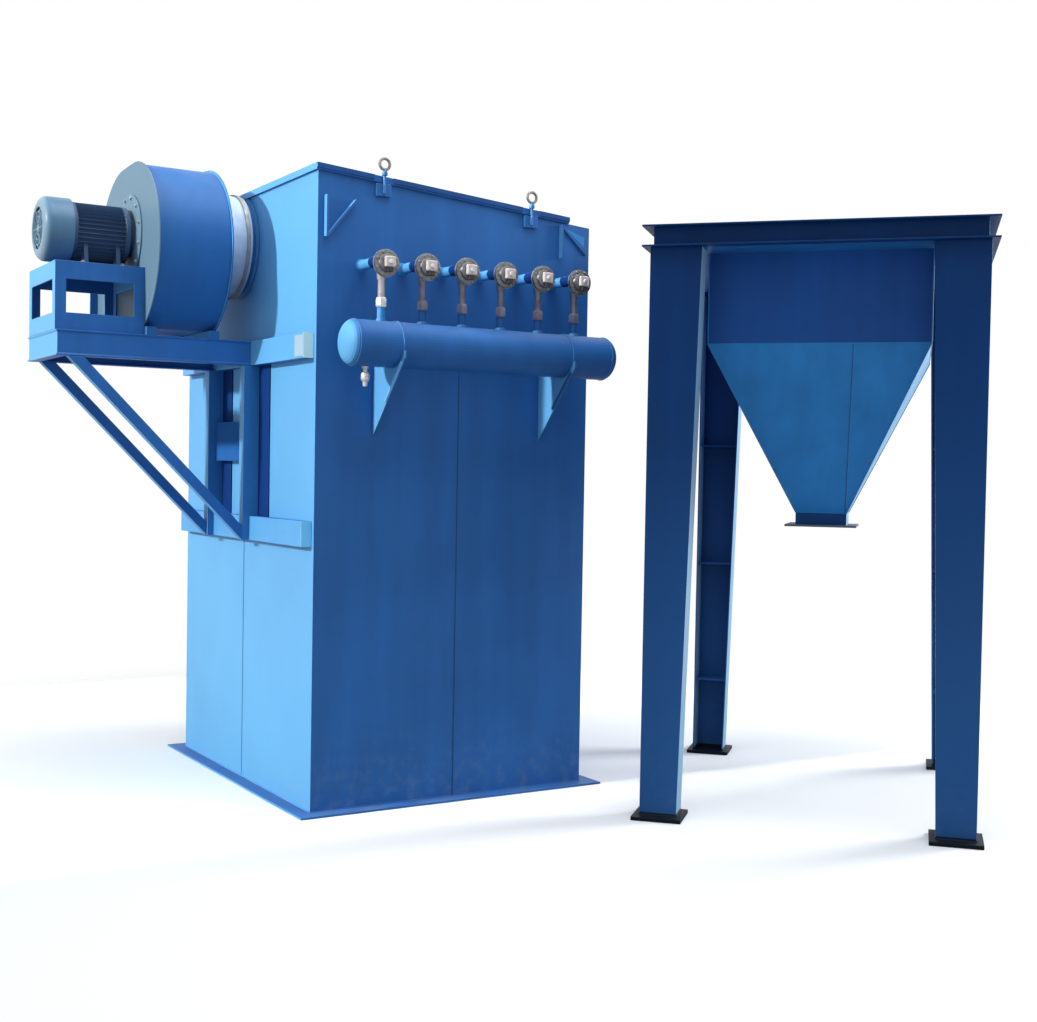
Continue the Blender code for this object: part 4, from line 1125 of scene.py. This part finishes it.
@dataclass
class Platform:
    """The channel platform on the fan side wall, with posts and braces."""

    plant: Plant
    web: float = 0.006
    flange: float = 0.053
    strip_near: float = 0.140
    strip_far: float = 0.135
    strip_foot: float = 0.1206
    tie_foot: float = 0.396
    tie_head: float = 0.594
    post_width: float = 0.062

    def build(self) -> None:
        """Roll the platform's channels and paint the frame under it."""
        # The frame under the platform is painted lighter than the wall as painted light.
        self.plant.soften(Look.LIT_POST, Slot.HOUSING, 0.002, "fan_wall_frame")
        self.plant.soften(Look.HOUSING, Slot.HOUSING, 0.003, "upper_wall_beam", "brace_near", "brace_far")
        near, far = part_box("platform_beam_near"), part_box("platform_beam_far")
        self.channels(near, far)
        lower, (upper, _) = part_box("fan_wall_frame")[0].z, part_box("upper_wall_beam")
        foot = lower + self.strip_foot
        # Dark strips beside the posts, painted as shade.
        strips = [block((-0.006, edge - wide, foot), (-STAND_OFF, edge - STAND_OFF, upper.z))
                  for edge, wide in ((near[0].y, self.strip_near), (far[0].y, self.strip_far))]
        install("post_shade_strips", joined(*strips), Look.SHADE_STRIP, Slot.HOUSING, bevel=0.001)
        # The tie cover is painted darker than the wall as painted shade.
        tie = block((-0.046, near[0].y + self.post_width, lower + self.tie_foot),
                    (-0.0404, far[1].y - self.post_width, lower + self.tie_head))
        install("post_tie_cover", tie, Look.SHADED_TIE, Slot.HOUSING, bevel=0.001)
        # Thin plates on the wall beams' ends, painted bright as painted highlights.
        for name, z, look in (("upper", upper.z, Look.HIGHLIGHT_CAP), ("lower", lower, Look.LIT_CAP)):
            cap = block((-0.052, upper.y - 0.005, z + 0.001), (-0.001, upper.y - STAND_OFF, z + 0.119))
            install(f"{name}_wall_beam_cap", cap, look, Slot.HOUSING, bevel=0.001)
        # A pale plate on the upper beam's face, painted as a highlight.
        label = block((-0.0525, upper.y + 0.001, upper.z + 0.010),
                      (-0.0504, upper.y + 0.100, upper.z + 0.108))
        install("upper_wall_beam_patch", label, Look.HIGHLIGHT_PATCH, Slot.HOUSING, bevel=0.0006)

    def channels(self, near: tuple[Vector, Vector], far: tuple[Vector, Vector]) -> None:
        """The two beams and the end beam as one rolled channel with mitred corners.

        Args:
            near: The near beam's box.
            far: The far beam's box.
        """
        foot, head, web, flange = near[0].z, near[1].z, self.web, -self.flange
        section = [(0.0, foot), (0.0, foot + web), (-web, foot + web * 2.0), (-web, head - web * 2.0),
                   (0.0, head - web), (0.0, head), (flange, head), (flange, head - web),
                   (-2.0 * web, head - web * 1.5), (-2.0 * web, foot + web * 1.5), (flange, foot + web),
                   (flange, foot)]
        path = [(near[1].x, far[1].y), (far[0].x, far[1].y), (near[0].x, near[0].y), (near[1].x, near[0].y)]
        install("platform_channels", mitred(section, path), Look.HOUSING, Slot.HOUSING,
                "platform_beam_near", "platform_beam_far", "platform_end_beam", bevel=0.002)


@dataclass
class Fan:
    """The fan's casing, connector and outlet flange."""

    plant: Plant
    band_width: float = 0.020
    band_inset: float = 0.012
    cloth_inset: float = 0.006
    cloth_thickness: float = 0.0016
    pleats: float = 7.0
    pleat_height: float = 0.0035
    bolt_inset: float = 0.019

    def build(self) -> None:
        """Dress the casing and build the connector."""
        self.plant.soften(Look.WRAP, Slot.HOUSING, 0.0, "fan_scroll")
        self.plant.soften(Look.PLATE, Slot.FAN_SIDE, 0.0006, "fan_side_plate_motor")
        self.plant.soften(Look.WRAP, Slot.FAN_SIDE, 0.0006, "fan_side_plate_inlet")
        self.plant.soften(Look.WRAP, Slot.HOUSING, 0.0015, "fan_foot_motor", "fan_foot_inlet",
                          "fan_outlet_flange")
        self.connector()
        self.outlet_bolts()

    def connector(self) -> None:
        """The canvas sleeve between two rings, its clamps, and the spigot's flange on the wall.

        The sleeve's radius is r(s) = r0 + pleat * sin(pleats * pi * s) * sin(pi * s), s from 0 to 1 along it.
        """
        low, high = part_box("inlet_connector")
        centre, radius, length = middle("inlet_connector")[1:], (high.z - low.z) / 2, high.x - low.x
        place = np.linspace(0.0, 1.0, 25)
        cloth = radius - self.cloth_inset
        wave = cloth + self.pleat_height * np.sin(place * math.pi * self.pleats) * np.sin(place * math.pi)
        profile = list(zip(wave.tolist(), (place * length).tolist()))
        sleeve = install("inlet_connector_sleeve", turned(profile, (low.x, *centre), Axis.X, 96), Look.CANVAS,
                         Slot.CANVAS, "inlet_connector")
        wall = sleeve.modifiers.new("Cloth thickness", "SOLIDIFY")
        wall.thickness, wall.offset = self.cloth_thickness, -1.0
        band = rectangle(radius - 0.005, radius + 0.001, 0.0, self.band_width)
        bands = [turned(band, (x, *centre), Axis.X, 96, closed=True)
                 for x in (low.x + self.band_inset, high.x - self.band_inset - self.band_width)]
        install("inlet_connector_clamps", joined(*bands), Look.STEEL, Slot.STEEL, bevel=0.001)
        spigot_low, spigot_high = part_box("inlet_spigot")
        outer = (spigot_high.z - spigot_low.z) / 2
        ring = [(outer - 0.050, -0.034), (outer, -0.034), (outer, -0.008), (outer + 0.026, -0.008),
                (outer + 0.026, -STAND_OFF), (outer - 0.050, -STAND_OFF)]
        install("inlet_spigot_ring", turned(ring, (0.0, *centre), Axis.X, 96, closed=True), Look.HOUSING,
                Slot.HOUSING, "inlet_spigot", bevel=0.001)

    def outlet_bolts(self) -> None:
        """Bolts round the outlet flange."""
        (left, _, foot), (right, face, head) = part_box("fan_outlet_flange")
        xs = np.linspace(left + self.bolt_inset, right - self.bolt_inset, 5)
        zs = np.linspace(foot + self.bolt_inset - 0.004, head - self.bolt_inset, 5)
        top = [(x, face, zs[-1]) for x in xs]
        sides = [(x, face, z) for x in (xs[0], xs[-1]) for z in zs[:-1]]
        bolts = bolt((0.0, 0.0, 0.0), Axis.Y, 0.007).repeated(np.array(top + sides))
        install("fan_outlet_bolts", bolts, Look.STEEL, Slot.STEEL)


@dataclass
class Motor:
    """The motor: finned barrel, end shields, feet and the cowl over its own fan."""

    plant: Plant
    fins: int = 40
    fin_height: float = 0.016
    radius: float = 0.140
    flange_back: float = 0.009
    foot_thickness: float = 0.016
    cowl_shoulder: float = 0.040
    grille_radius: float = 0.104
    grille_inset: float = 0.005
    grille_wire: float = 0.0035
    spokes: int = 6
    low: Vector = field(init=False)
    high: Vector = field(init=False)
    centre: Pair = field(init=False)

    def __post_init__(self) -> None:
        """Read the motor's place from the frame; centre is the shaft's (y, z)."""
        self.low, self.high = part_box("motor_body")
        self.centre = middle("motor_cowl")[1:]

    def build(self) -> None:
        """Build the motor and soften its stand."""
        self.plant.soften(Look.HOUSING, Slot.HOUSING, 0.002, "motor_stand")
        self.barrel()
        self.feet()
        self.cowl()

    def barrel(self) -> None:
        """The barrel between its end shields, and the flange on the fan's casing.

        The barrel's outline is r(a) = root + height * fin(a), carried along the shaft's axis. fin(a) is a
        narrow smooth pulse, the 6th power of |cos(a * fins / 2)|.
        """
        low, high, radius = self.low, self.high, self.radius
        angle = np.linspace(0.0, TURN, self.fins * 8, endpoint=False)
        reach = radius - self.fin_height + self.fin_height * np.abs(np.cos(angle * self.fins / 2)) ** 6
        outline = np.array(self.centre) + reach[:, None] * np.stack([np.cos(angle), np.sin(angle)], axis=1)
        install("motor_finned_barrel", prism(outline, Axis.X, low.x + 0.020, high.x - 0.052), Look.MOTOR,
                Slot.MOTOR, "motor_body", sharp=50)
        rear = [(0.0, 0.0), (radius + 0.002, 0.0), (radius + 0.002, 0.018), (radius - 0.010, 0.024),
                (0.0, 0.024)]
        drive = [(0.0, 0.0), (radius - 0.010, 0.0), (radius + 0.001, 0.008), (radius + 0.001, 0.026),
                 (0.098, 0.044), (0.098, 0.056), (0.0, 0.056)]
        shields = [turned(profile, (x, *self.centre), Axis.X, 64)
                   for profile, x in ((rear, low.x), (drive, high.x - 0.060))]
        install("motor_end_shields", joined(*shields), Look.MOTOR, Slot.MOTOR, bevel=0.001)
        seat = (high.x - self.flange_back, *self.centre)
        flange = [(0.100, 0.0), (0.206, 0.0), (0.210, 0.002), (0.210, 0.008), (0.100, 0.008)]
        install("motor_flange", turned(flange, seat, Axis.X, 96, closed=True), Look.PLATE, Slot.FAN_SIDE,
                bevel=0.0015)
        install("motor_flange_bolts", bolt_circle(seat, Axis.X, 0.190, 12, 0.008), Look.STEEL, Slot.STEEL)

    def feet(self) -> None:
        """Two foot rails with two webs each, bolted down."""
        (left, _, foot), right, (y, z) = self.low, self.high.x, self.centre
        top = foot + self.foot_thickness
        feet = []
        for side in (-1.0, 1.0):
            near, far = sorted((y + side * 0.070, y + side * 0.133))
            feet.append(block((left + 0.030, near, foot), (right - 0.052, far, top)))
            web = [(y + side * 0.062, foot + 0.010), (y + side * 0.128, foot + 0.010),
                   (y + side * 0.112, z - 0.055), (y + side * 0.090, z - 0.070)]
            feet += [prism(web, Axis.X, x - 0.010, x + 0.010) for x in (left + 0.060, right - 0.090)]
        install("motor_feet", joined(*feet), Look.MOTOR, Slot.MOTOR, bevel=0.0015)
        spots = [(x, y + side * 0.118, top) for x in (left + 0.045, right - 0.070) for side in (-1.0, 1.0)]
        bolts = bolt((0.0, 0.0, 0.0), Axis.Z, 0.010).repeated(np.array(spots))
        install("motor_foot_bolts", bolts, Look.STEEL, Slot.STEEL)

    def cowl(self) -> None:
        """The pressed cowl with a rounded shoulder, a grille of rings and spokes, and the fan behind it."""
        low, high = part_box("motor_cowl")
        radius, length = (high.z - low.z) / 2, high.x - low.x
        shoulder, hole = self.cowl_shoulder, self.grille_radius
        profile = [(radius - 0.012, length), (radius, length), (radius, length - 0.030),
                   *((radius - shoulder + u, shoulder - v) for u, v in arc(90.0, 8, shoulder)),
                   (hole, 0.0), (hole, 0.006), (radius - 0.050, 0.006), (radius - 0.012, shoulder)]
        shell = turned(profile, (low.x, *self.centre), Axis.X, 96, closed=True)
        install("motor_cowl_shell", shell, Look.COWL, Slot.COWL, "motor_cowl")
        hub = (low.x + self.grille_inset, *self.centre)
        wire = [(self.grille_wire * u, self.grille_wire * v) for u, v in arc(315.0, 7)]
        grille = [turned([(ring + u, v) for u, v in wire], hub, Axis.X, 64, closed=True)
                  for ring in (0.030, 0.055, 0.080, 0.103)]
        for angle in (TURN * spoke / self.spokes for spoke in range(self.spokes)):
            tip = (hub[0], hub[1] + hole * math.cos(angle), hub[2] + hole * math.sin(angle))
            grille.append(rod(hub, tip, 0.003, 10))
        grille.append(turned([(0.0, -0.004), (0.018, -0.002), (0.018, 0.006), (0.0, 0.006)], hub, Axis.X, 24))
        install("motor_cowl_grille", joined(*grille), Look.COWL, Slot.COWL)
        fan = turned(rectangle(0.0, radius - 0.020, 0.0, 0.004), (low.x + 0.014, *self.centre), Axis.X)
        install("motor_cooling_fan", fan, Look.COWL, Slot.MOTOR)


@dataclass
class HopperSection:
    """The hopper on its legs, drawn in its own axes and turned into place."""

    plant: Plant
    inset: float = 0.240
    head: float = 2.6563
    fold: float = 2.225
    neck: float = 1.425
    foot: float = 1.365
    outlet: float = 0.250
    sheet: float = 0.006
    seam_x: Pair = (0.913, 0.868)
    frame_foot: float = 2.650
    leg_depth: float = 0.140
    leg_widths: Pair = (0.172, 0.240)
    stiffeners: Point = (0.420, 1.090, 1.765)
    foot_plate: float = 0.018
    width: float = field(init=False)
    depth: float = field(init=False)
    outlet_x: float = field(init=False)
    outlet_y: float = field(init=False)

    def __post_init__(self) -> None:
        """Take the plan from the housing, which stands on this section, and centre the outlet in it."""
        self.width, self.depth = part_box("front_wall")[1].x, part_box("rear_wall")[1].y
        self.outlet_x, self.outlet_y = (self.width - self.outlet) / 2, (self.depth - self.outlet) / 2

    @property
    def stand(self) -> Matrix:
        """The section's place: a turn about its front left corner."""
        return Matrix.Translation((*HOPPER_CORNER, 0.0)) @ Matrix.Rotation(HOPPER_TURN, 4, "Z")

    def build(self) -> None:
        """Build the hopper from its sheets, weld it and paint the stand."""
        self.sheets()
        self.hopper_welds()
        self.leg_welds()
        self.plant.soften(Look.STAND, Slot.STAND, 0.0015, "hopper_top_frame", "leg_front_left",
                          "leg_front_right", "leg_rear_left", "leg_rear_right")
        # The ledge is painted lighter than the stand as a painted highlight.
        self.plant.soften(Look.SEAM_AND_LIT_LEDGE, Slot.STAND, 0.0015, "hopper_ledge")
        self.plant.soften(Look.OUTLET, Slot.STAND, 0.001, "hopper_outlet_flange")

    def stacked(self, levels: list[Point]) -> Form:
        """Four walls between rectangles: corner(i, j) is the plan's corner j, moved in by level i's insets.

        Args:
            levels: (inset x, inset y, height) of each rectangle, down the outside and up the inside.

        Returns:
            The closed ring of walls, in place.
        """
        inset_x, inset_y, z = np.array(levels).T[:, :, None]
        far_x, far_y = np.array([[0, 1, 1, 0], [0, 0, 1, 1]])
        points = np.stack([inset_x + far_x * (self.width - 2 * inset_x),
                           inset_y + far_y * (self.depth - 2 * inset_y),
                           np.broadcast_to(z, (len(levels), 4))], axis=-1)
        return Form(points.reshape(-1, 3), lattice(len(levels), 4, True)).moved(self.stand)

    def sheets(self) -> None:
        """The skirt, the pyramid and the neck."""
        out, x, y = self.inset, self.outlet_x, self.outlet_y
        inner, x_in, y_in = out + self.sheet, x + self.sheet, y + self.sheet
        skirt = [(out, out, self.head), (out, out, self.fold + STAND_OFF), (inner, inner, self.fold),
                 (inner, inner, self.head)]
        pyramid = [(out, out, self.fold), (x, y, self.neck), (x_in, y_in, self.neck),
                   (inner, inner, self.fold)]
        under = self.neck - STAND_OFF
        neck = [(x, y, under), (x, y, self.foot), (x_in, y_in, self.foot), (x_in, y_in, under)]
        install("hopper_skirt", self.stacked(skirt), Look.SKIRT, Slot.HOPPER, "hopper_shell")
        install("hopper_pyramid", self.stacked(pyramid), Look.HOPPER, Slot.HOPPER)
        # The neck is painted in the stand's dark navy as painted shade.
        install("hopper_neck", self.stacked(neck), Look.STAND, Slot.HOPPER)

    def hopper_welds(self) -> None:
        """Beads down the pyramid's edges and seams, round the fold and round the neck."""
        out, x, y = self.inset, self.outlet_x, self.outlet_y
        rear, low_rear = self.depth - out, self.depth - y
        upper = rectangle(out, self.width - out, out, rear)
        lower = rectangle(x, self.width - x, y, low_rear)
        beads = []
        for number, (start, end) in enumerate(zip(upper, lower)):
            way = (start[0] - self.width / 2, start[1] - self.depth / 2)
            beads.append(weld((*start, self.fold), (*end, self.neck), (*way, -0.6), *EDGE_WELD))
            beads.append(weld((*start, self.fold), (*start, self.head), (*way, 0.0), *EDGE_WELD))
            for corners, z in ((upper, self.fold), (lower, self.neck)):
                first, last = corners[number], corners[(number + 1) % 4]
                across = (last[1] - first[1], first[0] - last[0], -0.2)
                beads.append(weld((*first, z), (*last, z), across))
        install("hopper_edge_welds", joined(*beads).moved(self.stand), Look.HOPPER, Slot.HOPPER)
        top, toe = self.seam_x
        seams = [weld((top, out, self.fold), (toe, y, self.neck), (0.0, -1.0, -0.8), *EDGE_WELD),
                 weld((self.width - top, rear, self.fold), (self.width - toe, low_rear, self.neck),
                      (0.0, 1.0, -0.8), *EDGE_WELD)]
        install("hopper_seam_welds", joined(*seams).moved(self.stand), Look.SEAM_AND_LIT_LEDGE, Slot.HOPPER)

    def leg_welds(self) -> None:
        """Beads round the foot of each leg and along its stiffeners, mirrored from leg to leg."""
        wide, top_width = self.leg_widths
        deep, plate = self.leg_depth, self.foot_plate
        sides = (((0.0, 0.0), (wide, 0.0), (0.0, -1.0)), ((0.0, 0.0), (0.0, deep), (-1.0, 0.0)),
                 ((wide, 0.0), (wide, deep), (1.0, 0.0)))
        beads = [weld((*start, plate), (*end, plate), (*way, 1.0), *FOOT_WELD) for start, end, way in sides]
        for z in self.stiffeners:
            end = wide + (top_width - wide) * z / self.frame_foot - 0.010
            start = (0.010, deep - 0.004, z + 0.004)
            beads.append(weld(start, (end, *start[1:]), (0.0, 1.0, 0.0), 0.008, 0.003))
        copies = []
        for flip_x, flip_y in ((False, False), (True, False), (False, True), (True, True)):
            mirror = Matrix.Diagonal((-1.0 if flip_x else 1.0, -1.0 if flip_y else 1.0, 1.0, 1.0))
            shift = Matrix.Translation((self.width if flip_x else 0.0, self.depth if flip_y else 0.0, 0.0))
            copies.append(joined(*beads).moved(self.stand @ shift @ mirror))
        install("leg_welds", joined(*copies), Look.STAND, Slot.STAND)


@dataclass
class Studio:
    """Floor, light and camera."""

    position: Point = (-2.6039, -6.0252, 1.6128)
    yaw: float = 31.6125
    pitch: float = -1.6606
    roll: float = 0.9974
    focal_pixels: float = 1412.785
    image_width: float = 1037.0
    sensor: float = 36.0
    floor_half: float = 60.0
    floor_tone: float = 0.92
    bounce: float = 0.38
    floor_fade: Pair = (3.3, 5.0)
    floor_middle: Point = (1.3, 0.2, 0.0)
    ambient: Colour = (0.86, 0.93, 1.0)
    ambient_strength: float = 0.55

    def build(self) -> None:
        """Set the stage."""
        self.camera()
        self.floor()
        aim = Vector((0.0, 1.99, 1.25))
        self.panel("key_light", aim + Vector((-1.0, 0.045, 0.417)) * 7.0, aim, (4.82, 4.70), 71.0, 3.5)
        self.panel("right_light", Vector((8.5, -2.0, 3.5)), Vector((2.2, -0.8, 1.6)), (2.5, 2.5), 420.0)
        self.panel("overhead_light", Vector((0.8, -1.5, 9.0)), Vector((0.8, 0.0, 0.0)), (6.0, 6.0), 560.0)
        self.surround()
        bpy.context.scene.view_settings.view_transform = "Standard"

    def camera(self) -> None:
        """The camera: forward from yaw and pitch, then rolled about its own line of sight."""
        yaw, pitch, roll = (math.radians(value) for value in (self.yaw, self.pitch, self.roll))
        forward = Vector((math.sin(yaw) * math.cos(pitch), math.cos(yaw) * math.cos(pitch), math.sin(pitch)))
        level = Vector((math.cos(yaw), -math.sin(yaw), 0.0))
        above = level.cross(forward)
        right = level * math.cos(roll) + above * math.sin(roll)
        up = above * math.cos(roll) - level * math.sin(roll)
        lens = bpy.data.cameras.new("camera")
        lens.sensor_width = self.sensor
        lens.lens = self.focal_pixels / self.image_width * self.sensor
        camera = bpy.data.objects.new("camera", lens)
        turn = Matrix((right, up, -forward)).transposed().to_4x4()
        camera.matrix_world = Matrix.Translation(self.position) @ turn
        bpy.context.scene.collection.objects.link(camera)
        bpy.context.scene.camera = camera

    def floor(self) -> None:
        """A wide pale floor that fades out far from the plant; it is darker to all but the camera."""
        mesh = bpy.data.meshes.new("floor")
        half = self.floor_half
        mesh.from_pydata([(x, y, 0.0) for x, y in rectangle(-half, half, -half, half)], [], [(0, 1, 2, 3)])
        floor = bpy.data.objects.new("floor", mesh)
        bpy.context.scene.collection.objects.link(floor)
        nodes = Shading("floor_paint")
        far = nodes.node("ShaderNodeVectorMath", {0: nodes.place, 1: self.floor_middle}, operation="DISTANCE")
        seen = Signal(nodes, nodes.node("ShaderNodeLightPath").outputs["Is Camera Ray"])
        tone = nodes.mix((self.bounce,) * 3, (self.floor_tone,) * 3, seen)
        nodes.finish({"Roughness": 0.9, "Specular IOR Level": 0.0, "Base Color": tone,
                      "Alpha": 1.0 - Signal(nodes, far.outputs["Value"]).ramp(*self.floor_fade)})
        mesh.materials.append(nodes.material)

    def surround(self) -> None:
        """A surround that is white to the camera and in reflections, and a dimmer sky as a light."""
        world = bpy.data.worlds.new("surround")
        bpy.context.scene.world = world
        tree = Tree(world)
        sky, output = tree.nodes["Background"], tree.nodes["World Output"]
        tree.feed(sky, {"Color": (*self.ambient, 1.0), "Strength": self.ambient_strength})
        white = tree.node("ShaderNodeBackground", {"Color": (1.0, 1.0, 1.0, 1.0)})
        rays = tree.node("ShaderNodeLightPath").outputs
        seen = Signal(tree, rays["Is Camera Ray"])
        for ray in ("Is Glossy Ray", "Is Transmission Ray"):
            seen = seen.at_least(Signal(tree, rays[ray]))
        blend = tree.node("ShaderNodeMixShader", {0: seen, 1: sky.outputs[0], 2: white.outputs[0]})
        tree.feed(output, {"Surface": blend.outputs[0]})

    def panel(self, name: str, place: Vector, target: Vector, size: Pair, power: float,
              spread: float = 180.0) -> None:
        """A light panel that faces a target.

        Args:
            name: The lamp's name.
            place: Where it hangs.
            target: What it faces.
            size: Its width and height.
            power: Its power in watts.
            spread: The angle its light fans out over, in degrees; a grid in front makes it narrow.
        """
        lamp = bpy.data.lights.new(name, "AREA")
        lamp.shape = "RECTANGLE"
        lamp.size, lamp.size_y = size
        lamp.energy, lamp.spread = power, math.radians(spread)
        light = bpy.data.objects.new(name, lamp)
        turn = (target - place).to_track_quat("-Z", "Y").to_matrix().to_4x4()
        light.matrix_world = Matrix.Translation(place) @ turn
        bpy.context.scene.collection.objects.link(light)


def main() -> None:
    """Build the plant piece by piece and set the stage."""
    logging.basicConfig(level=logging.INFO, format="%(message)s")
    for old in list(bpy.data.objects):
        bpy.data.objects.remove(old, do_unlink=True)
    plant = Plant()
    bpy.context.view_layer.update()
    parts = {"housing": Housing(plant), "air tank": AirTank(plant), "pulse valves": PulseValves(),
             "platform": Platform(plant), "fan": Fan(plant), "motor": Motor(plant),
             "hopper section": HopperSection(plant)}
    for name, part in parts.items():
        part.build()
    Studio().build()


if __name__ == "__main__":
    main()
